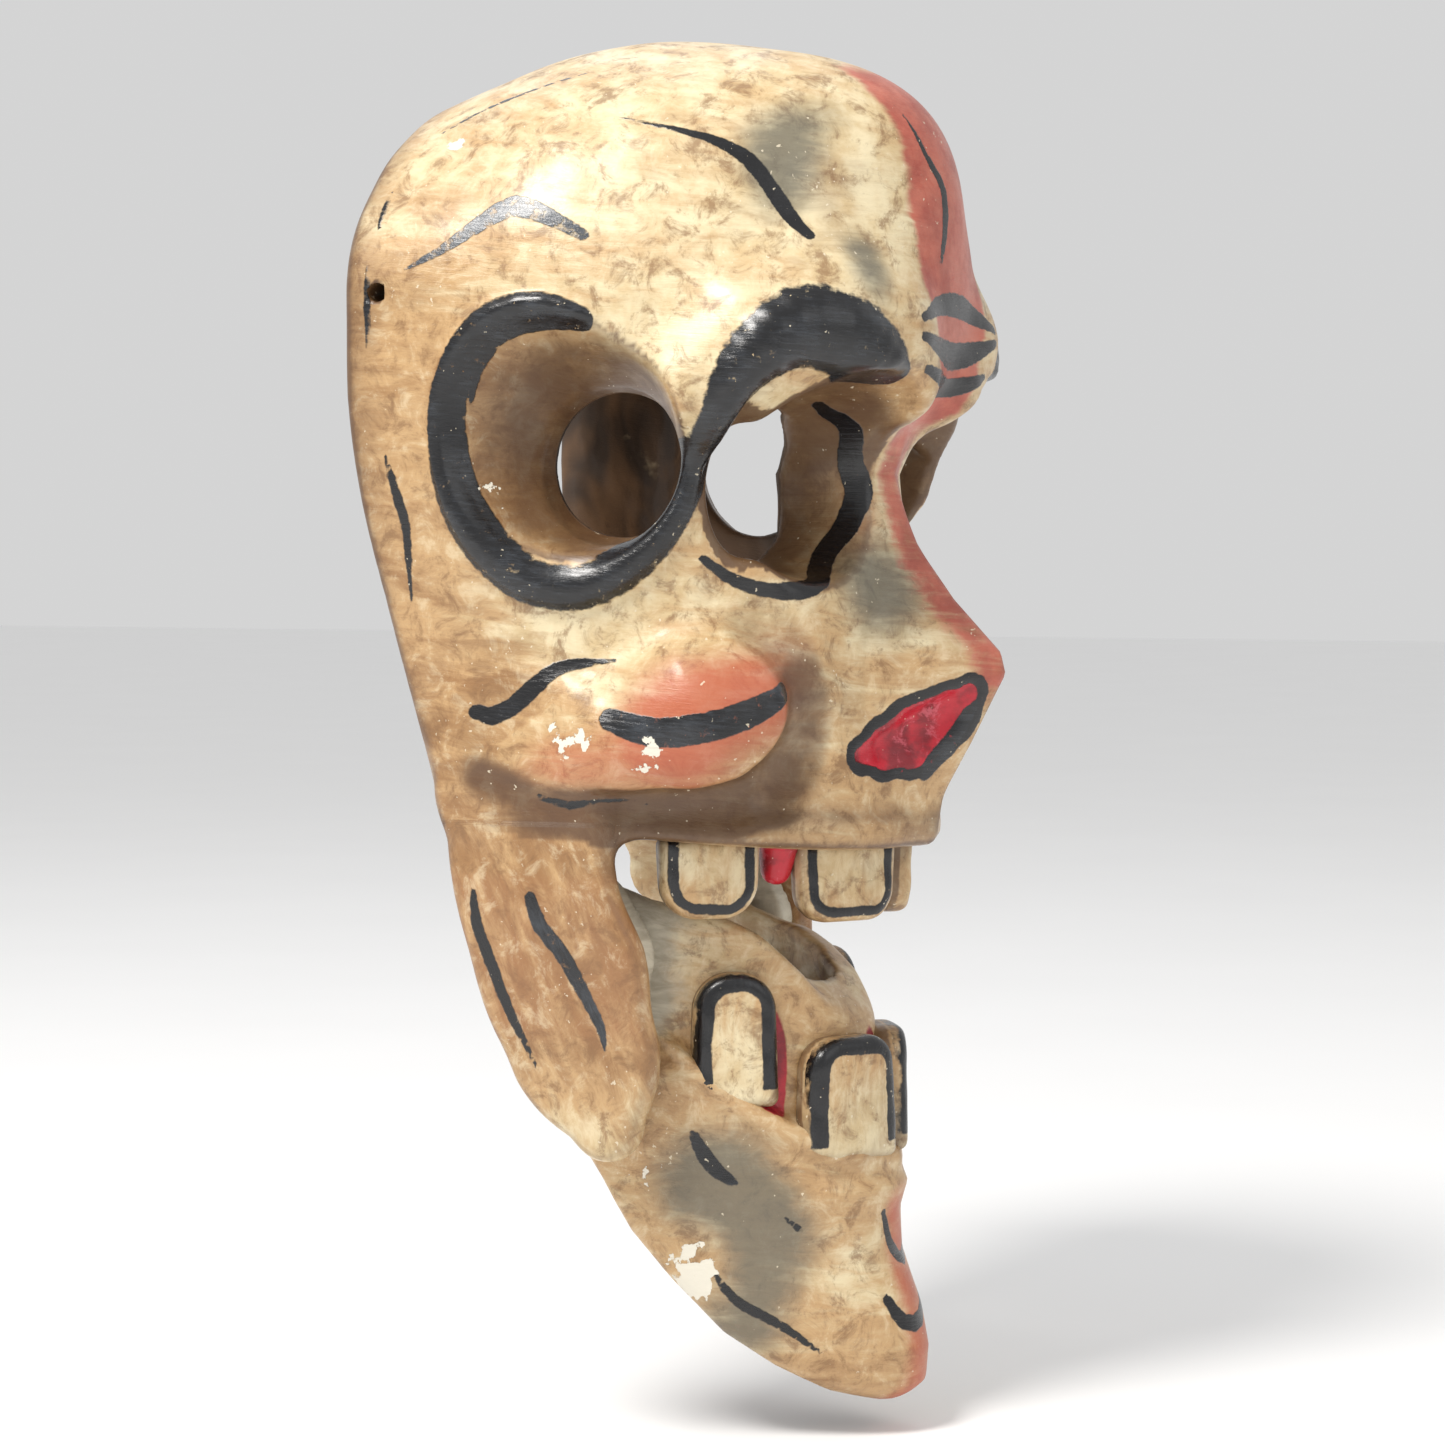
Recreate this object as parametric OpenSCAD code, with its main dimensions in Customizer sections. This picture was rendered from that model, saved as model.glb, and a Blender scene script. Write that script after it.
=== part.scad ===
// Carved wooden skull mask with a hinged lower jaw.
// The face looks toward -Y and the crown is up (+Z).
// The origin is the mouth of the hanging hole in the back rim.

/* [Skull] */
// Width across the widest part of the skull shell
skull_w = 148; // [120:1:180]
// Depth of the forehead in front of the back rim
forehead_d = 121; // [90:1:150]
// Height of the crown above the hanging hole
crown_up = 21; // [18:0.5:26]
// Distance from the crown down to the underside of the upper lip, at the back rim plane
lip_down = 179.7; // [170:0.1:200]
// Fall of the lip's underside toward the front, per millimetre
lip_fall = 0.075; // [0:0.005:0.15]
// Thickness of the wood at the sides of the shell
side_wall = 14; // [9:0.5:18]
// Thickness of the wood at the front of the shell
front_wall = 24; // [14:0.5:30]
// Forward slant of the lower back rim, per millimetre of height
rim_slant = 0.22; // [0:0.01:0.35]

/* [Eyes and temples] */
// Radius of an eye socket at the face
eye_r = 25.6; // [18:0.1:28]
// Radius of the inner end of an eye socket
eye_inner_r = 17.2; // [10:0.1:20]
// Radius of a temple hole at the outer surface
temple_r = 33.4; // [24:0.1:36]
// Radius of the inner end of a temple hole
temple_inner_r = 17; // [12:0.5:22]
// Half thickness of the raised band round the temple and over the eye
band_r = 5; // [3:0.5:8]

/* [Cheek plates] */
// Half thickness of a cheek plate
plate_t = 4.8; // [3.5:0.1:6]
// Distance of a cheek plate's middle from the centre plane at the pivot
plate_x = 57.2; // [54:0.1:60]

/* [Jaw] */
// Half width of the jaw at the hinge
jaw_half_w = 49.5; // [44:0.5:52]
// Distance of the chin in front of the back rim plane
chin_d = 114; // [100:1:125]
// Thickness of the jaw wall at the sides
jaw_wall = 11; // [7:0.5:14]
// Height of the pivot below the crown
pivot_down = 206; // [200:0.5:212]
// Distance of the pivot in front of the back rim plane
pivot_fwd = 44; // [38:0.5:50]
// Radius of the round boss at the top of a jaw arm
boss_r = 15; // [10:0.5:16]

/* [Pins] */
// Radius of a hinge dowel
pin_r = 3.5; // [2.5:0.1:5]
// Radial running clearance of the jaw on its dowels
pin_gap = 0.06; // [0.02:0.01:0.1]
// Radius of the leather washers
washer_r = 8.5; // [6:0.5:12]

/* [Teeth] */
// Width of a front tooth
front_tooth_w = 25.5; // [18:0.5:30]
// Width of an upper side tooth
side_tooth_w = 23; // [16:0.5:28]
// Width of a lower side tooth
lower_side_w = 19.5; // [14:0.5:26]
// Thickness of every tooth
tooth_t = 10; // [6:0.5:12]
// Height of an upper tooth, with the part let into the lip
upper_tooth_h = 22; // [14:0.5:26]
// Height of a lower front tooth
lower_front_h = 29; // [18:0.5:32]
// Height of a lower side tooth
lower_side_h = 31; // [20:0.5:36]

/* [Holes] */
// Radius of the hanging hole
hang_r = 2.5; // [1.5:0.1:4]
// Depth of the hanging hole
hang_l = 10; // [6:0.5:12]
// Radius of the two tie holes beside the temples
tie_r = 2.2; // [1.5:0.1:3]

/* [Hidden] */
wood = "#d9c08c";
wood_inside = "#7a5c3c";
ivory = "#e9dfc4";
dowel = "#b98d5a";
hide = "#6b4326";
far = 200;

// ---- heights are counted down from the crown ----
function up(down) = crown_up - down;

// ---- smooth joining of shapes given by signed distance ----
function clamp(v, lo, hi) = max(lo, min(hi, v));
function ease(t) = let (u = clamp(t, 0, 1)) u * u * (3 - 2 * u);
function join(a, b, k) =
    let (h = clamp(0.5 + 0.5 * (b - a) / k, 0, 1)) b + (a - b) * h - k * h * (1 - h);
function carve(a, b, k) = -join(-a, -b, k);

// a round bar from a to b whose radius changes from ra to rb
function bar(p, a, b, ra, rb) =
    let (d = b - a, t = clamp((p - a) * d / (d * d), 0, 1)) norm(p - a - t * d) - (ra + t * (rb - ra));

// ---- the skull's own curves ----
half_width = [[0, skull_w / 2 - 1], [60, skull_w / 2], [85, skull_w / 2 - 0.5], [110, 70],
    [130, 66], [150, 63.5], [175, 60], [200, 58]];
depth = [[0, forehead_d], [70, forehead_d + 0.5], [80, 118.5], [92, 109], [102, 104.5],
    [118, 106], [135, 108.5], [150, 110], [176, 112.5], [200, 112.5]];
nose_line = [[92, 103], [102, 102.5], [118, 111.4], [131, 120.8], [143, 132], [148, 133.2],
    [153, 130.6], [164, 125], [177, 117.8], [185, 115.8], [190, 112]];
nose_half_w = [[92, 9], [102, 9], [118, 11], [131, 14], [145, 18], [160, 18], [178, 14], [190, 12]];

// the crown is highest over the brow's rear edge and falls toward the back rim
function crown_h(y) = 66 - 15 * pow(clamp((y + 56) / 56, 0, 1), 2);

// shell of superellipse sections, moved in by side, back and top
function shell(p, side, back, top, m0) =
    let (down = crown_up - p.z,
        a = lookup(down, half_width) - side,
        d = lookup(down, depth) - back,
        c = crown_h(p.y) - top,
        h = max(66 - down, 0),
        m = m0 - 0.5 * ease(h / 30),
        q = pow(pow(abs(p.y) / d, 4.2) + pow(h / c, 4.2) + 1e-12, 1 / 4.2),
        f = pow(pow(abs(p.x) / a, m) + pow(q, m) + 1e-12, 1 / m))
    (f - 1) * 80;

function nose(p) =
    let (down = crown_up - p.z,
        w = lookup(down, nose_half_w),
        s = min(pow(p.x / (1.25 * w), 2), 0.999),
        h = 20 * (1 - sqrt(1 - s)) + 0.55 * abs(p.x),
        f = (h - lookup(down, nose_line) - p.y) * 0.62)
    carve(carve(f, abs(p.x) - 1.15 * w, 5), 95 - down, 8);

// shortest distance to a chain of bars through these points and radii
function chain(p, path, radii, i = 0) =
    i >= len(path) - 2 ? bar(p, path[i], path[i + 1], radii[i], radii[i + 1])
    : join(bar(p, path[i], path[i + 1], radii[i], radii[i + 1]), chain(p, path, radii, i + 1), 2);

brow_path = [[-60, -77, up(84)], [-52, -90, up(72)], [-40, -101, up(67)], [-26, -109, up(72)],
    [-17, -112, up(82)]];
// the left brow is carved fuller than the right one
left_brow = [[42, -97, up(76)], [46, -95.5, up(90)], [50, -88, up(103)], [51, -80, up(116)]];
cheek_path = [[-50, -30, up(167)], [-47.5, -58, up(163)], [-42, -74, up(157)], [-37.5, -83, up(152)]];

function plain_face(p) =
    let (r = [-abs(p.x), p.y, p.z])
    join(join(join(join(shell(p, 0, 0, 0, 2.45), nose(p), 8),
        chain(r, brow_path, [9, 12, 14, 13, 9]), 10),
        chain(p, left_brow, [13, 12.5, 11.5, 9]), 8),
        chain(r, cheek_path, [13, 18.5, 22, 19]), 5);

// crease round the cheekbone: angle round the face, height below the crown, radius and depth
crease = [[42, 130, 6, 1], [33, 141, 8, 3], [29.6, 154, 8, 4.2], [32, 168, 7.5, 4.5], [43, 176.6, 6, 5],
    [60, 178, 5.5, 5], [76, 176, 4.5, 3.4], [88, 171, 4, 1.4]];
crease_path = [for (c = crease)
    let (u = [-sin(c[0]), -cos(c[0]), 0])
    reach([0, -30, up(c[1])], u, 3, 150, 15, "plain") + u * (c[2] - c[3])];
crease_r = [for (c = crease) c[2]];

function face(p) =
    p.z > up(118) ? plain_face(p)
    : carve(plain_face(p), -chain([-abs(p.x), p.y, p.z], crease_path, crease_r), 4);

// the hollow keeps a thick rim beside the wearer's temples, and thick wood round the temple holes
function hollow(p) =
    let (down = crown_up - p.z,
        rim = 12 * ease((p.y + 26) / 20) * (1 - ease((down - 125) / 20)),
        boss = bar([-abs(p.x), p.y, p.z], [-70, -56, up(100)], [-30, -60, up(101)], 27, 22))
    carve(shell(p, side_wall + rim, front_wall, side_wall + 2, 2.2), -carve(boss, 44 - abs(p.x), 4), 6);

// ---- the jaw's own curves ----
jaw_border = [[36, 246], [44, 256], [49, 265], [55, 277], [64, 289], [74, 301], [84, 309],
    [95, 315.5], [107, 319.3], [118, 320.5]];
jaw_half = [[190, jaw_half_w], [230, jaw_half_w], [255, 48], [270, 46.5], [285, 44], [300, 39],
    [312, 32], [320, 26]];
jaw_front = [[190, 104], [255, 105], [262, 106], [268, 108.5], [274, 107], [284, 107.5],
    [296, chin_d - 2], [306, chin_d + 0.5], [314, chin_d], [320, 109]];

function arch(p, a, d) =
    let (x = abs(p.x) / a, y = max(-p.y, 0) / d)
    (pow(pow(x, 2.05) + pow(y, 2.05) + 1e-12, 1 / 2.05) - 1) * 60;

// seen from the side: the lip under the teeth, and the upper edge of the wall behind them
ledge = [[37, 206], [50, 219], [58, 226.5], [65.7, 233], [75.3, 241.8], [89.1, 252.3], [101.6, 259.8],
    [106, 261.5]];
rim = [[30, 194], [37, 195], [52, 197], [58, 199.6], [72, 203.3], [82, 206.6], [90, 211.6],
    [97, 218.2], [103, 224.5], [108, 228], [125, 238]];

function jaw_outer(p) =
    let (down = crown_up - p.z,
        inset = 4.2 * ease((lookup(-p.y, ledge) - down + 1) / 4.5),
        f = arch(p, lookup(down, jaw_half) - inset, lookup(down, jaw_front) - inset))
    carve(carve(f, (down - lookup(-p.y, jaw_border)) * 0.7, 6), p.y + 37, 3);

function jaw_hollow(p) =
    let (down = crown_up - p.z,
        f = arch(p, lookup(down, jaw_half) - jaw_wall, lookup(down, jaw_front) - jaw_wall - 4))
    carve(carve(f, (down - lookup(-p.y, jaw_border) + 22) * 0.7, 8), down - 296, 6);

jaw_levels = concat([193, 199], [for (d = [205:4.5:268]) d], [for (d = [272:5.5:300]) d],
    [305, 309, 312.5, 315.5, 318]);
jaw_mids = [for (d = jaw_levels) d < 250 ? 62 : min(62 + (d - 250) * 0.62, 101)];
hollow_levels = [186, 200, 210, 218, 224, 229, 234, 240, 247, 254, 262, 270, 277];
hollow_mids = [for (d = hollow_levels) d < 240 ? 62 : min(62 + (d - 240) * 0.6, 87)];

// ---- surfaces found by stepping out along rays from one point ----
function field(p, which) =
    which == "face" ? face(p)
    : which == "plain" ? plain_face(p)
    : which == "left" ? face([-p.x, p.y, p.z])
    : which == "hollow" ? hollow(p)
    : which == "jaw" ? jaw_outer(p)
    : jaw_hollow(p);

function reach(c, u, lo, hi, n, which) =
    let (m = (lo + hi) / 2)
    n == 0 ? c + u * m
    : field(c + u * m, which) < 0 ? reach(c, u, m, hi, n - 1, which)
    : reach(c, u, lo, m, n - 1, which);

// closed skin: rings round the -Y direction, from the front out to the angle 'wide'
module skin(c, which, rings, around, wide, hi = 190) {
    pts = [for (i = [1:rings], j = [0:around - 1])
        let (t = wide * i / rings, a = 360 * j / around)
        reach(c, [sin(t) * cos(a), -cos(t), sin(t) * sin(a)], 3, hi, 15, which)];
    tip = reach(c, [0, -1, 0], 3, hi, 15, which);
    back = c + [0, max([for (j = [0:around - 1]) pts[(rings - 1) * around + j].y]) - c.y, 0];
    n = rings * around;
    side = [for (i = [0:rings - 2], j = [0:around - 1])
        let (k = (j + 1) % around)
        each [[i * around + j, (i + 1) * around + k, (i + 1) * around + j],
            [i * around + j, i * around + k, (i + 1) * around + k]]];
    front = [for (j = [0:around - 1]) [n, (j + 1) % around, j]];
    rear = [for (j = [0:around - 1]) [n + 1, n - around + j, n - around + (j + 1) % around]];
    polyhedron(concat(pts, [tip, back]), concat(side, front, rear), convexity = 8);
}

// closed stack of level sections, each traced round a point at its own distance in front
module stack(levels, fwd, which, around, hi = 100) {
    m = len(levels);
    pts = [for (i = [0:m - 1], j = [0:around - 1])
        let (a = 360 * j / around)
        reach([0, -fwd[i], up(levels[i])], [sin(a), -cos(a), 0], 2, hi, 15, which)];
    side = [for (i = [0:m - 2], j = [0:around - 1])
        let (k = (j + 1) % around)
        each [[i * around + j, (i + 1) * around + k, (i + 1) * around + j],
            [i * around + j, i * around + k, (i + 1) * around + k]]];
    lid = [for (j = [0:around - 1]) around - 1 - j];
    foot = [for (j = [0:around - 1]) (m - 1) * around + j];
    polyhedron(pts, concat(side, [lid, foot]), convexity = 8);
}

// a straight round cone from a to b
module cone_between(a, b, ra, rb) {
    d = b - a;
    translate(a)
        rotate([0, acos(d.z / norm(d)), atan2(d.y, d.x)])
            cylinder(r1 = ra, r2 = rb, h = norm(d), $fn = 40);
}

module both_sides() {
    children();
    mirror([1, 0, 0]) children();
}

// ---- raised band: follows the carved surface through these angles and heights ----
// each entry is the angle round the face from straight ahead, and the height below the crown
band_path = [[69.6, 68.8], [76, 66.8], [84, 68.5], [90, 76], [93.6, 87], [94.4, 98], [92.8, 109],
    [88, 118.5], [80, 125.6], [70, 127.4], [62, 124], [55.8, 117], [51.5, 108], [48.8, 98], [48, 89],
    [45.2, 79.5], [39.8, 72], [33.5, 69.6], [27.8, 72], [23.4, 76.5], [20.8, 82], [19.6, 86.5]];
band_size = [0.64, 0.86, 0.92, 0.86, 0.84, 0.86, 0.94, 1.04, 1.12, 1.08, 0.98, 0.92, 0.86, 0.84, 0.98,
    1.28, 1.72, 2, 2, 1.72, 1.16, 0.6];

function band_point(i, which) =
    let (t = band_path[i][0])
    reach([0, -30, up(band_path[i][1])], [-sin(t), -cos(t), 0], 3, 150, 15, which);

module band(which) {
    n = len(band_path);
    mids = [for (i = [0:n - 1]) band_point(i, which)];
    sides = 10;
    pts = [for (i = [0:n - 1])
        let (fwd = mids[min(i + 1, n - 1)] - mids[max(i - 1, 0)],
            out = (mids[i] - [0, -30, mids[i].z]) / norm(mids[i] - [0, -30, mids[i].z]),
            across = cross(fwd, out) / norm(cross(fwd, out)),
            r = band_r * band_size[i])
        for (j = [0:sides - 1])
            mids[i] + across * r * cos(360 * j / sides) + out * band_r * 0.6 * sin(360 * j / sides)];
    skin_faces = [for (i = [0:n - 2], j = [0:sides - 1])
        let (k = (j + 1) % sides)
        each [[i * sides + j, i * sides + k, (i + 1) * sides + k],
            [i * sides + j, (i + 1) * sides + k, (i + 1) * sides + j]]];
    first = [for (j = [sides - 1:-1:0]) j];
    last = [for (j = [0:sides - 1]) (n - 1) * sides + j];
    polyhedron(pts, concat(skin_faces, [first, last]), convexity = 6);
}

module eye_socket() {
    cone_between([-35.6, -114, up(105)], [-29, -80, up(105)], eye_r, eye_inner_r);
    cone_between([-29.4, -82, up(105)], [-22, -52, up(105)], eye_inner_r, eye_inner_r - 2);
    // undercut toward the temple, so that the eye is seen through from the side
    translate([-48, -86.1, up(106)])
        rotate([0, 0, 20.7])
            rotate([0, 90, 0])
                translate([0, 0, -6]) scale([1.9, 1, 1]) cylinder(r = 7.8, h = 42, $fn = 32);
}

module temple_hole() {
    cone_between([-82, -53, up(96.5)], [-53, -57, up(100.5)], temple_r + 0.5, temple_inner_r);
    cone_between([-54, -57, up(100.5)], [-33, -60.5, up(101.5)], temple_inner_r, temple_inner_r - 3.5);
}

module nostril() {
    translate([-15, -122, up(166)])
        rotate([28, 0, -42])
            scale([0.75, 0.75, 1.25])
                sphere(8, $fn = 20);
}

// cheek plate: three rounded slabs hanging over the jaw arm
module plate() {
    slabs = [[-38, 172, 21, plate_x + 1.2], [-38, 196, 20.5, plate_x + 1], [-44.5, 215, 20.5, plate_x + 0.4],
        [-50.5, 235, 16.5, plate_x - 2.8], [-55, 250, 8, plate_x - 5]];
    for (i = [0:2])
        hull()
            for (s = i == 0 ? [slabs[0], slabs[1]] : i == 1 ? [slabs[1], slabs[2]] : [slabs[2], slabs[3], slabs[4]])
                translate([-s[3], s[0], up(s[1])])
                    scale([plate_t / s[2] * (s[2] > 10 ? 1 : 0.8), 1, 1])
                        sphere(s[2], $fn = 20);
}

// everything above the underside of the lip, or with side = -1 everything below it
module lip_block(gap, side) {
    translate([-far, 0, up(lip_down) - gap])
        rotate([atan(lip_fall), 0, 0])
            translate([0, -far, side > 0 ? 0 : -2 * far]) cube([2 * far, 2 * far, 2 * far]);
}

module skull_blank() {
    difference() {
        intersection() {
            skin([0, -40, up(95)], "face", 38, 72, 140);
            lip_block(0, 1);
        }
        skin([0, -40, up(95)], "hollow", 18, 44, 140);
        both_sides() {
            eye_socket();
            temple_hole();
            nostril();
        }
    }
}

module skull_carved() {
    difference() {
        union() {
            skull_blank();
            difference() {
                union() {
                    band("face");
                    mirror([1, 0, 0]) band("left");
                }
                both_sides() temple_hole();
            }
            both_sides() plate();
        }
        translate([-far, 0, up(105)])
            rotate([-atan(rim_slant), 0, 0])
                translate([0, 0, -2 * far]) cube([2 * far, far, 2 * far]);
        translate([-far, 0, -far]) cube([2 * far, far, 2 * far]);
    }
}

// bore along X through one side of the mask
module side_bore(y, down, r, x0, x1) {
    translate([-x1, y, up(down)])
        rotate([0, 90, 0]) cylinder(r = r, h = x1 - x0, $fn = 48);
}

module skull_shell() {
    color(wood)
        difference() {
            resize([0, 0, 0]) skull_carved();
            rotate([90, 0, 0]) cylinder(r = hang_r, h = hang_l, $fn = 40);
            both_sides() {
                side_bore(-pivot_fwd, pivot_down, pin_r, 40, pin_end + 0.1);
                side_bore(-9, 62, tie_r, 45, 85);
            }
        }
}

// ---- teeth ----
// middle of a tooth, the angle it faces, and its width and height
upper_front = [[-13.8, -98.2, up(205)], 39, front_tooth_w, upper_tooth_h];
upper_side = [[-38.4, -74.4, up(203)], 54, side_tooth_w, upper_tooth_h];
lower_front = [[-12.4, -98.6, up(246.3)], 31, front_tooth_w, lower_front_h];
lower_side = [[-30.2, -77.6, up(231.5)], 58, lower_side_w, lower_side_h];

module block(w, t, h, round_top) {
    hull()
        for (sx = [-1, 1], sy = [-1, 1], sz = [-1, 1])
            let (r = min(t / 2 - 0.5, sz == round_top ? 4.4 : 3))
            translate([sx * (w / 2 - r), sy * (t / 2 - r), sz * (h / 2 - r)])
                sphere(r, $fn = 16);
}

module upper_tooth(s) {
    difference() {
        translate([s[0].x, s[0].y, s[0].z + s[3] / 2])
            rotate([0, 0, -s[1]]) block(s[2], tooth_t - 1, s[3], -1);
        lip_block(0.02, 1);
    }
}

module lower_tooth(s) {
    translate(s[0])
        rotate([0, 0, -s[1]]) block(s[2], tooth_t, s[3], 1);
}

module upper_front_tooth_right() { color(ivory) upper_tooth(upper_front); }
module upper_front_tooth_left() { color(ivory) mirror([1, 0, 0]) upper_tooth(upper_front); }
module upper_side_tooth_right() { color(ivory) upper_tooth(upper_side); }
module upper_side_tooth_left() { color(ivory) mirror([1, 0, 0]) upper_tooth(upper_side); }
module lower_front_tooth_right() { color(ivory) lower_tooth(lower_front); }
module lower_front_tooth_left() { color(ivory) mirror([1, 0, 0]) lower_tooth(lower_front); }
module lower_side_tooth_right() { color(ivory) lower_tooth(lower_side); }
module lower_side_tooth_left() { color(ivory) mirror([1, 0, 0]) lower_tooth(lower_side); }

// ---- jaw ----
arm_in = 41.4;
arm_out = 50.6;
// the dowels stop inside the cheek plates
pin_end = 60.4;

module jaw_arm() {
    side_bore(-pivot_fwd, pivot_down, boss_r, arm_in, arm_out);
    // heel behind the hinge, under the skull's rear edge
    side_bore(-28, 191, 8.3, arm_in, arm_out);
    side_bore(-31, 200, 9, arm_in, arm_out);
    side_bore(-51, 212, 12, arm_in, arm_out - 1);
    side_bore(-50, 224, 12, arm_in - 1, arm_out - 4.2);
}

// everything above the wall's upper edge, lowered by 'drop', from x0 toward +X
module above_rim(drop, x0) {
    translate([x0, 0, 0])
        rotate([90, 0, 90])
            linear_extrude(far)
                polygon(concat([for (r = rim) [-r[0], up(r[1]) - drop]], [[-125, up(150)], [-30, up(150)]]));
}

module jaw_carved() {
    difference() {
        union() {
            difference() {
                stack(jaw_levels, jaw_mids, "jaw", 64);
                stack(hollow_levels, hollow_mids, "jaw_hollow", 44);
                above_rim(0, -100);
                above_rim(8, -27);
            }
            both_sides() jaw_arm();
        }
        both_sides() {
            lower_tooth(lower_front);
            lower_tooth(lower_side);
        }
    }
}

module jaw() {
    color(wood)
        difference() {
            resize([0, 0, 0]) jaw_carved();
            both_sides() side_bore(-pivot_fwd, pivot_down, pin_r + pin_gap, 35, 60);
        }
}

// ---- hinge ----
module pin() {
    side_bore(-pivot_fwd, pivot_down, pin_r, arm_in - 1, pin_end);
}

module washer() {
    difference() {
        side_bore(-pivot_fwd, pivot_down, washer_r, arm_out + 0.3, plate_x - plate_t - 0.5);
        side_bore(-pivot_fwd, pivot_down, pin_r, 30, 70);
    }
}

module right_pin() { color(dowel) pin(); }
module left_pin() { color(dowel) mirror([1, 0, 0]) pin(); }
module right_washer() { color(hide) washer(); }
module left_washer() { color(hide) mirror([1, 0, 0]) washer(); }

skull_shell();
jaw();
right_pin();
left_pin();
right_washer();
left_washer();
upper_front_tooth_right();
upper_front_tooth_left();
upper_side_tooth_right();
upper_side_tooth_left();
lower_front_tooth_right();
lower_front_tooth_left();
lower_side_tooth_right();
lower_side_tooth_left();
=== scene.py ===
"""Looks of a carved and painted wooden skull mask with a hinged jaw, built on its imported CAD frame."""

import math

import bpy
import numpy as np
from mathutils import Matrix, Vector


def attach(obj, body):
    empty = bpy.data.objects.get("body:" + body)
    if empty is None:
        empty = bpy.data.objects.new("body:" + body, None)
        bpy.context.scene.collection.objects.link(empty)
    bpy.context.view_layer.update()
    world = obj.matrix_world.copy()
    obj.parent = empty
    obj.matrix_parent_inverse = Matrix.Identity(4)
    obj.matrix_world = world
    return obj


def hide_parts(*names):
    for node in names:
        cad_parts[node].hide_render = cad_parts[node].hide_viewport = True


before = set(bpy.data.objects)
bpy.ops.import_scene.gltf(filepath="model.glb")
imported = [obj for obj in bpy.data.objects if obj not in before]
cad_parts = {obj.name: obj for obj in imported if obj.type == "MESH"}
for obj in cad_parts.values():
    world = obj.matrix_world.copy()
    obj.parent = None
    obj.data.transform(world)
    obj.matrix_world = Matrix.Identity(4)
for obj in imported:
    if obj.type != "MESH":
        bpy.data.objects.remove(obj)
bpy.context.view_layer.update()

MM = 0.001
CROWN_UP = 21.0  # height of the crown above the hanging hole, mm
PIVOT_Y, PIVOT_DOWN = -44.0, 206.0
CLOSED = math.radians(8)  # how far the jaw swings up from rest
PLATE_GAP = 0.7  # room between a jaw arm and a cheek plate, mm
BORE_R = 3.9  # a little over the dowel, so that the skins stay apart
STEP = 1.2  # grid of the carved skins, mm
rng = np.random.default_rng(7)


# ---------------------------------------------------------------- shape helpers (all in mm)
def up(down):
    return CROWN_UP - down


def ease(t):
    t = np.clip(t, 0, 1)
    return t * t * (3 - 2 * t)


def join(a, b, k):
    h = np.clip(0.5 + 0.5 * (b - a) / k, 0, 1)
    return b + (a - b) * h - k * h * (1 - h)


def carve(a, b, k):
    return -join(-a, -b, k)


def table(x, rows):
    return np.interp(x, [r[0] for r in rows], [r[1] for r in rows])


def bar(x, y, z, a, b, ra, rb):
    """Round bar from a to b, its radius going from ra to rb."""
    dx, dy, dz = b[0] - a[0], b[1] - a[1], b[2] - a[2]
    length = dx * dx + dy * dy + dz * dz + 1e-9
    t = np.clip(((x - a[0]) * dx + (y - a[1]) * dy + (z - a[2]) * dz) / length, 0, 1)
    gap = np.sqrt((x - a[0] - t * dx) ** 2 + (y - a[1] - t * dy) ** 2 + (z - a[2] - t * dz) ** 2)
    return gap - (ra + t * (rb - ra))


def bars(x, y, z, path, radii, k=0.0):
    out = None
    for p, q, rp, rq in zip(path[:-1], path[1:], radii[:-1], radii[1:]):
        d = bar(x, y, z, p, q, rp, rq)
        out = d if out is None else (join(out, d, k) if k else np.minimum(out, d))
    return out


def wobble(x, y, z, size, seed):
    """Slow hand-carved unevenness between -1 and 1."""
    out = 0
    for i in range(3):
        a, b, c, d = np.sin(np.arange(4) * 12.9898 + seed * 78.233 + i * 37.7) * 43758.5453 % 1
        s = (1.7**i) / size
        out = out + np.sin(x * s * (0.7 + a) + y * s * (0.3 + b) * 1.6 + 6.3 * c) * np.sin(
            z * s * (0.7 + d) - y * s * (0.4 + a) + 6.3 * b
        ) / (i + 1)
    return out / 1.8


# ---------------------------------------------------------------- the skull's curves
HALF_WIDTH = [(0, 73), (60, 74), (85, 73.5), (110, 70), (130, 66), (150, 63.5), (175, 60), (200, 58)]
DEPTH = [(0, 121), (70, 121.5), (80, 118.5), (92, 109), (102, 104.5), (118, 106), (135, 108.5), (150, 110),
         (176, 112.5), (200, 112.5)]
NOSE = [(92, 103), (102, 102.5), (118, 111.4), (131, 120.8), (143, 132), (148, 133.2), (153, 130.6), (164, 125),
        (177, 117.8), (185, 115.8), (190, 112)]
NOSE_W = [(92, 9), (102, 9), (118, 11), (131, 14), (145, 18), (160, 18), (178, 14), (190, 12)]


def shell(x, y, z, side, back, top, m0):
    down = CROWN_UP - z
    a = table(down, HALF_WIDTH) - side
    d = table(down, DEPTH) - back
    c = 66 - 15 * np.clip((y + 56) / 56, 0, 1) ** 2 - top
    h = np.maximum(66 - down, 0)
    m = m0 - 0.5 * ease(h / 30)
    q0 = 4.2
    fx, fy, fz = np.abs(x) / a, np.abs(y) / d, h / c
    q = (fy**q0 + fz**q0 + 1e-12) ** (1 / q0)
    f = (fx**m + q**m + 1e-12) ** (1 / m)
    gx = (fx / f) ** (m - 1) / a
    gq = (q / f) ** (m - 1)
    qs = np.maximum(q, 1e-6)
    gy = gq * (fy / qs) ** (q0 - 1) / d
    gz = gq * (fz / qs) ** (q0 - 1) / c
    return (f - 1) / np.maximum(np.sqrt(gx * gx + gy * gy + gz * gz), 1 / 140)


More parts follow.
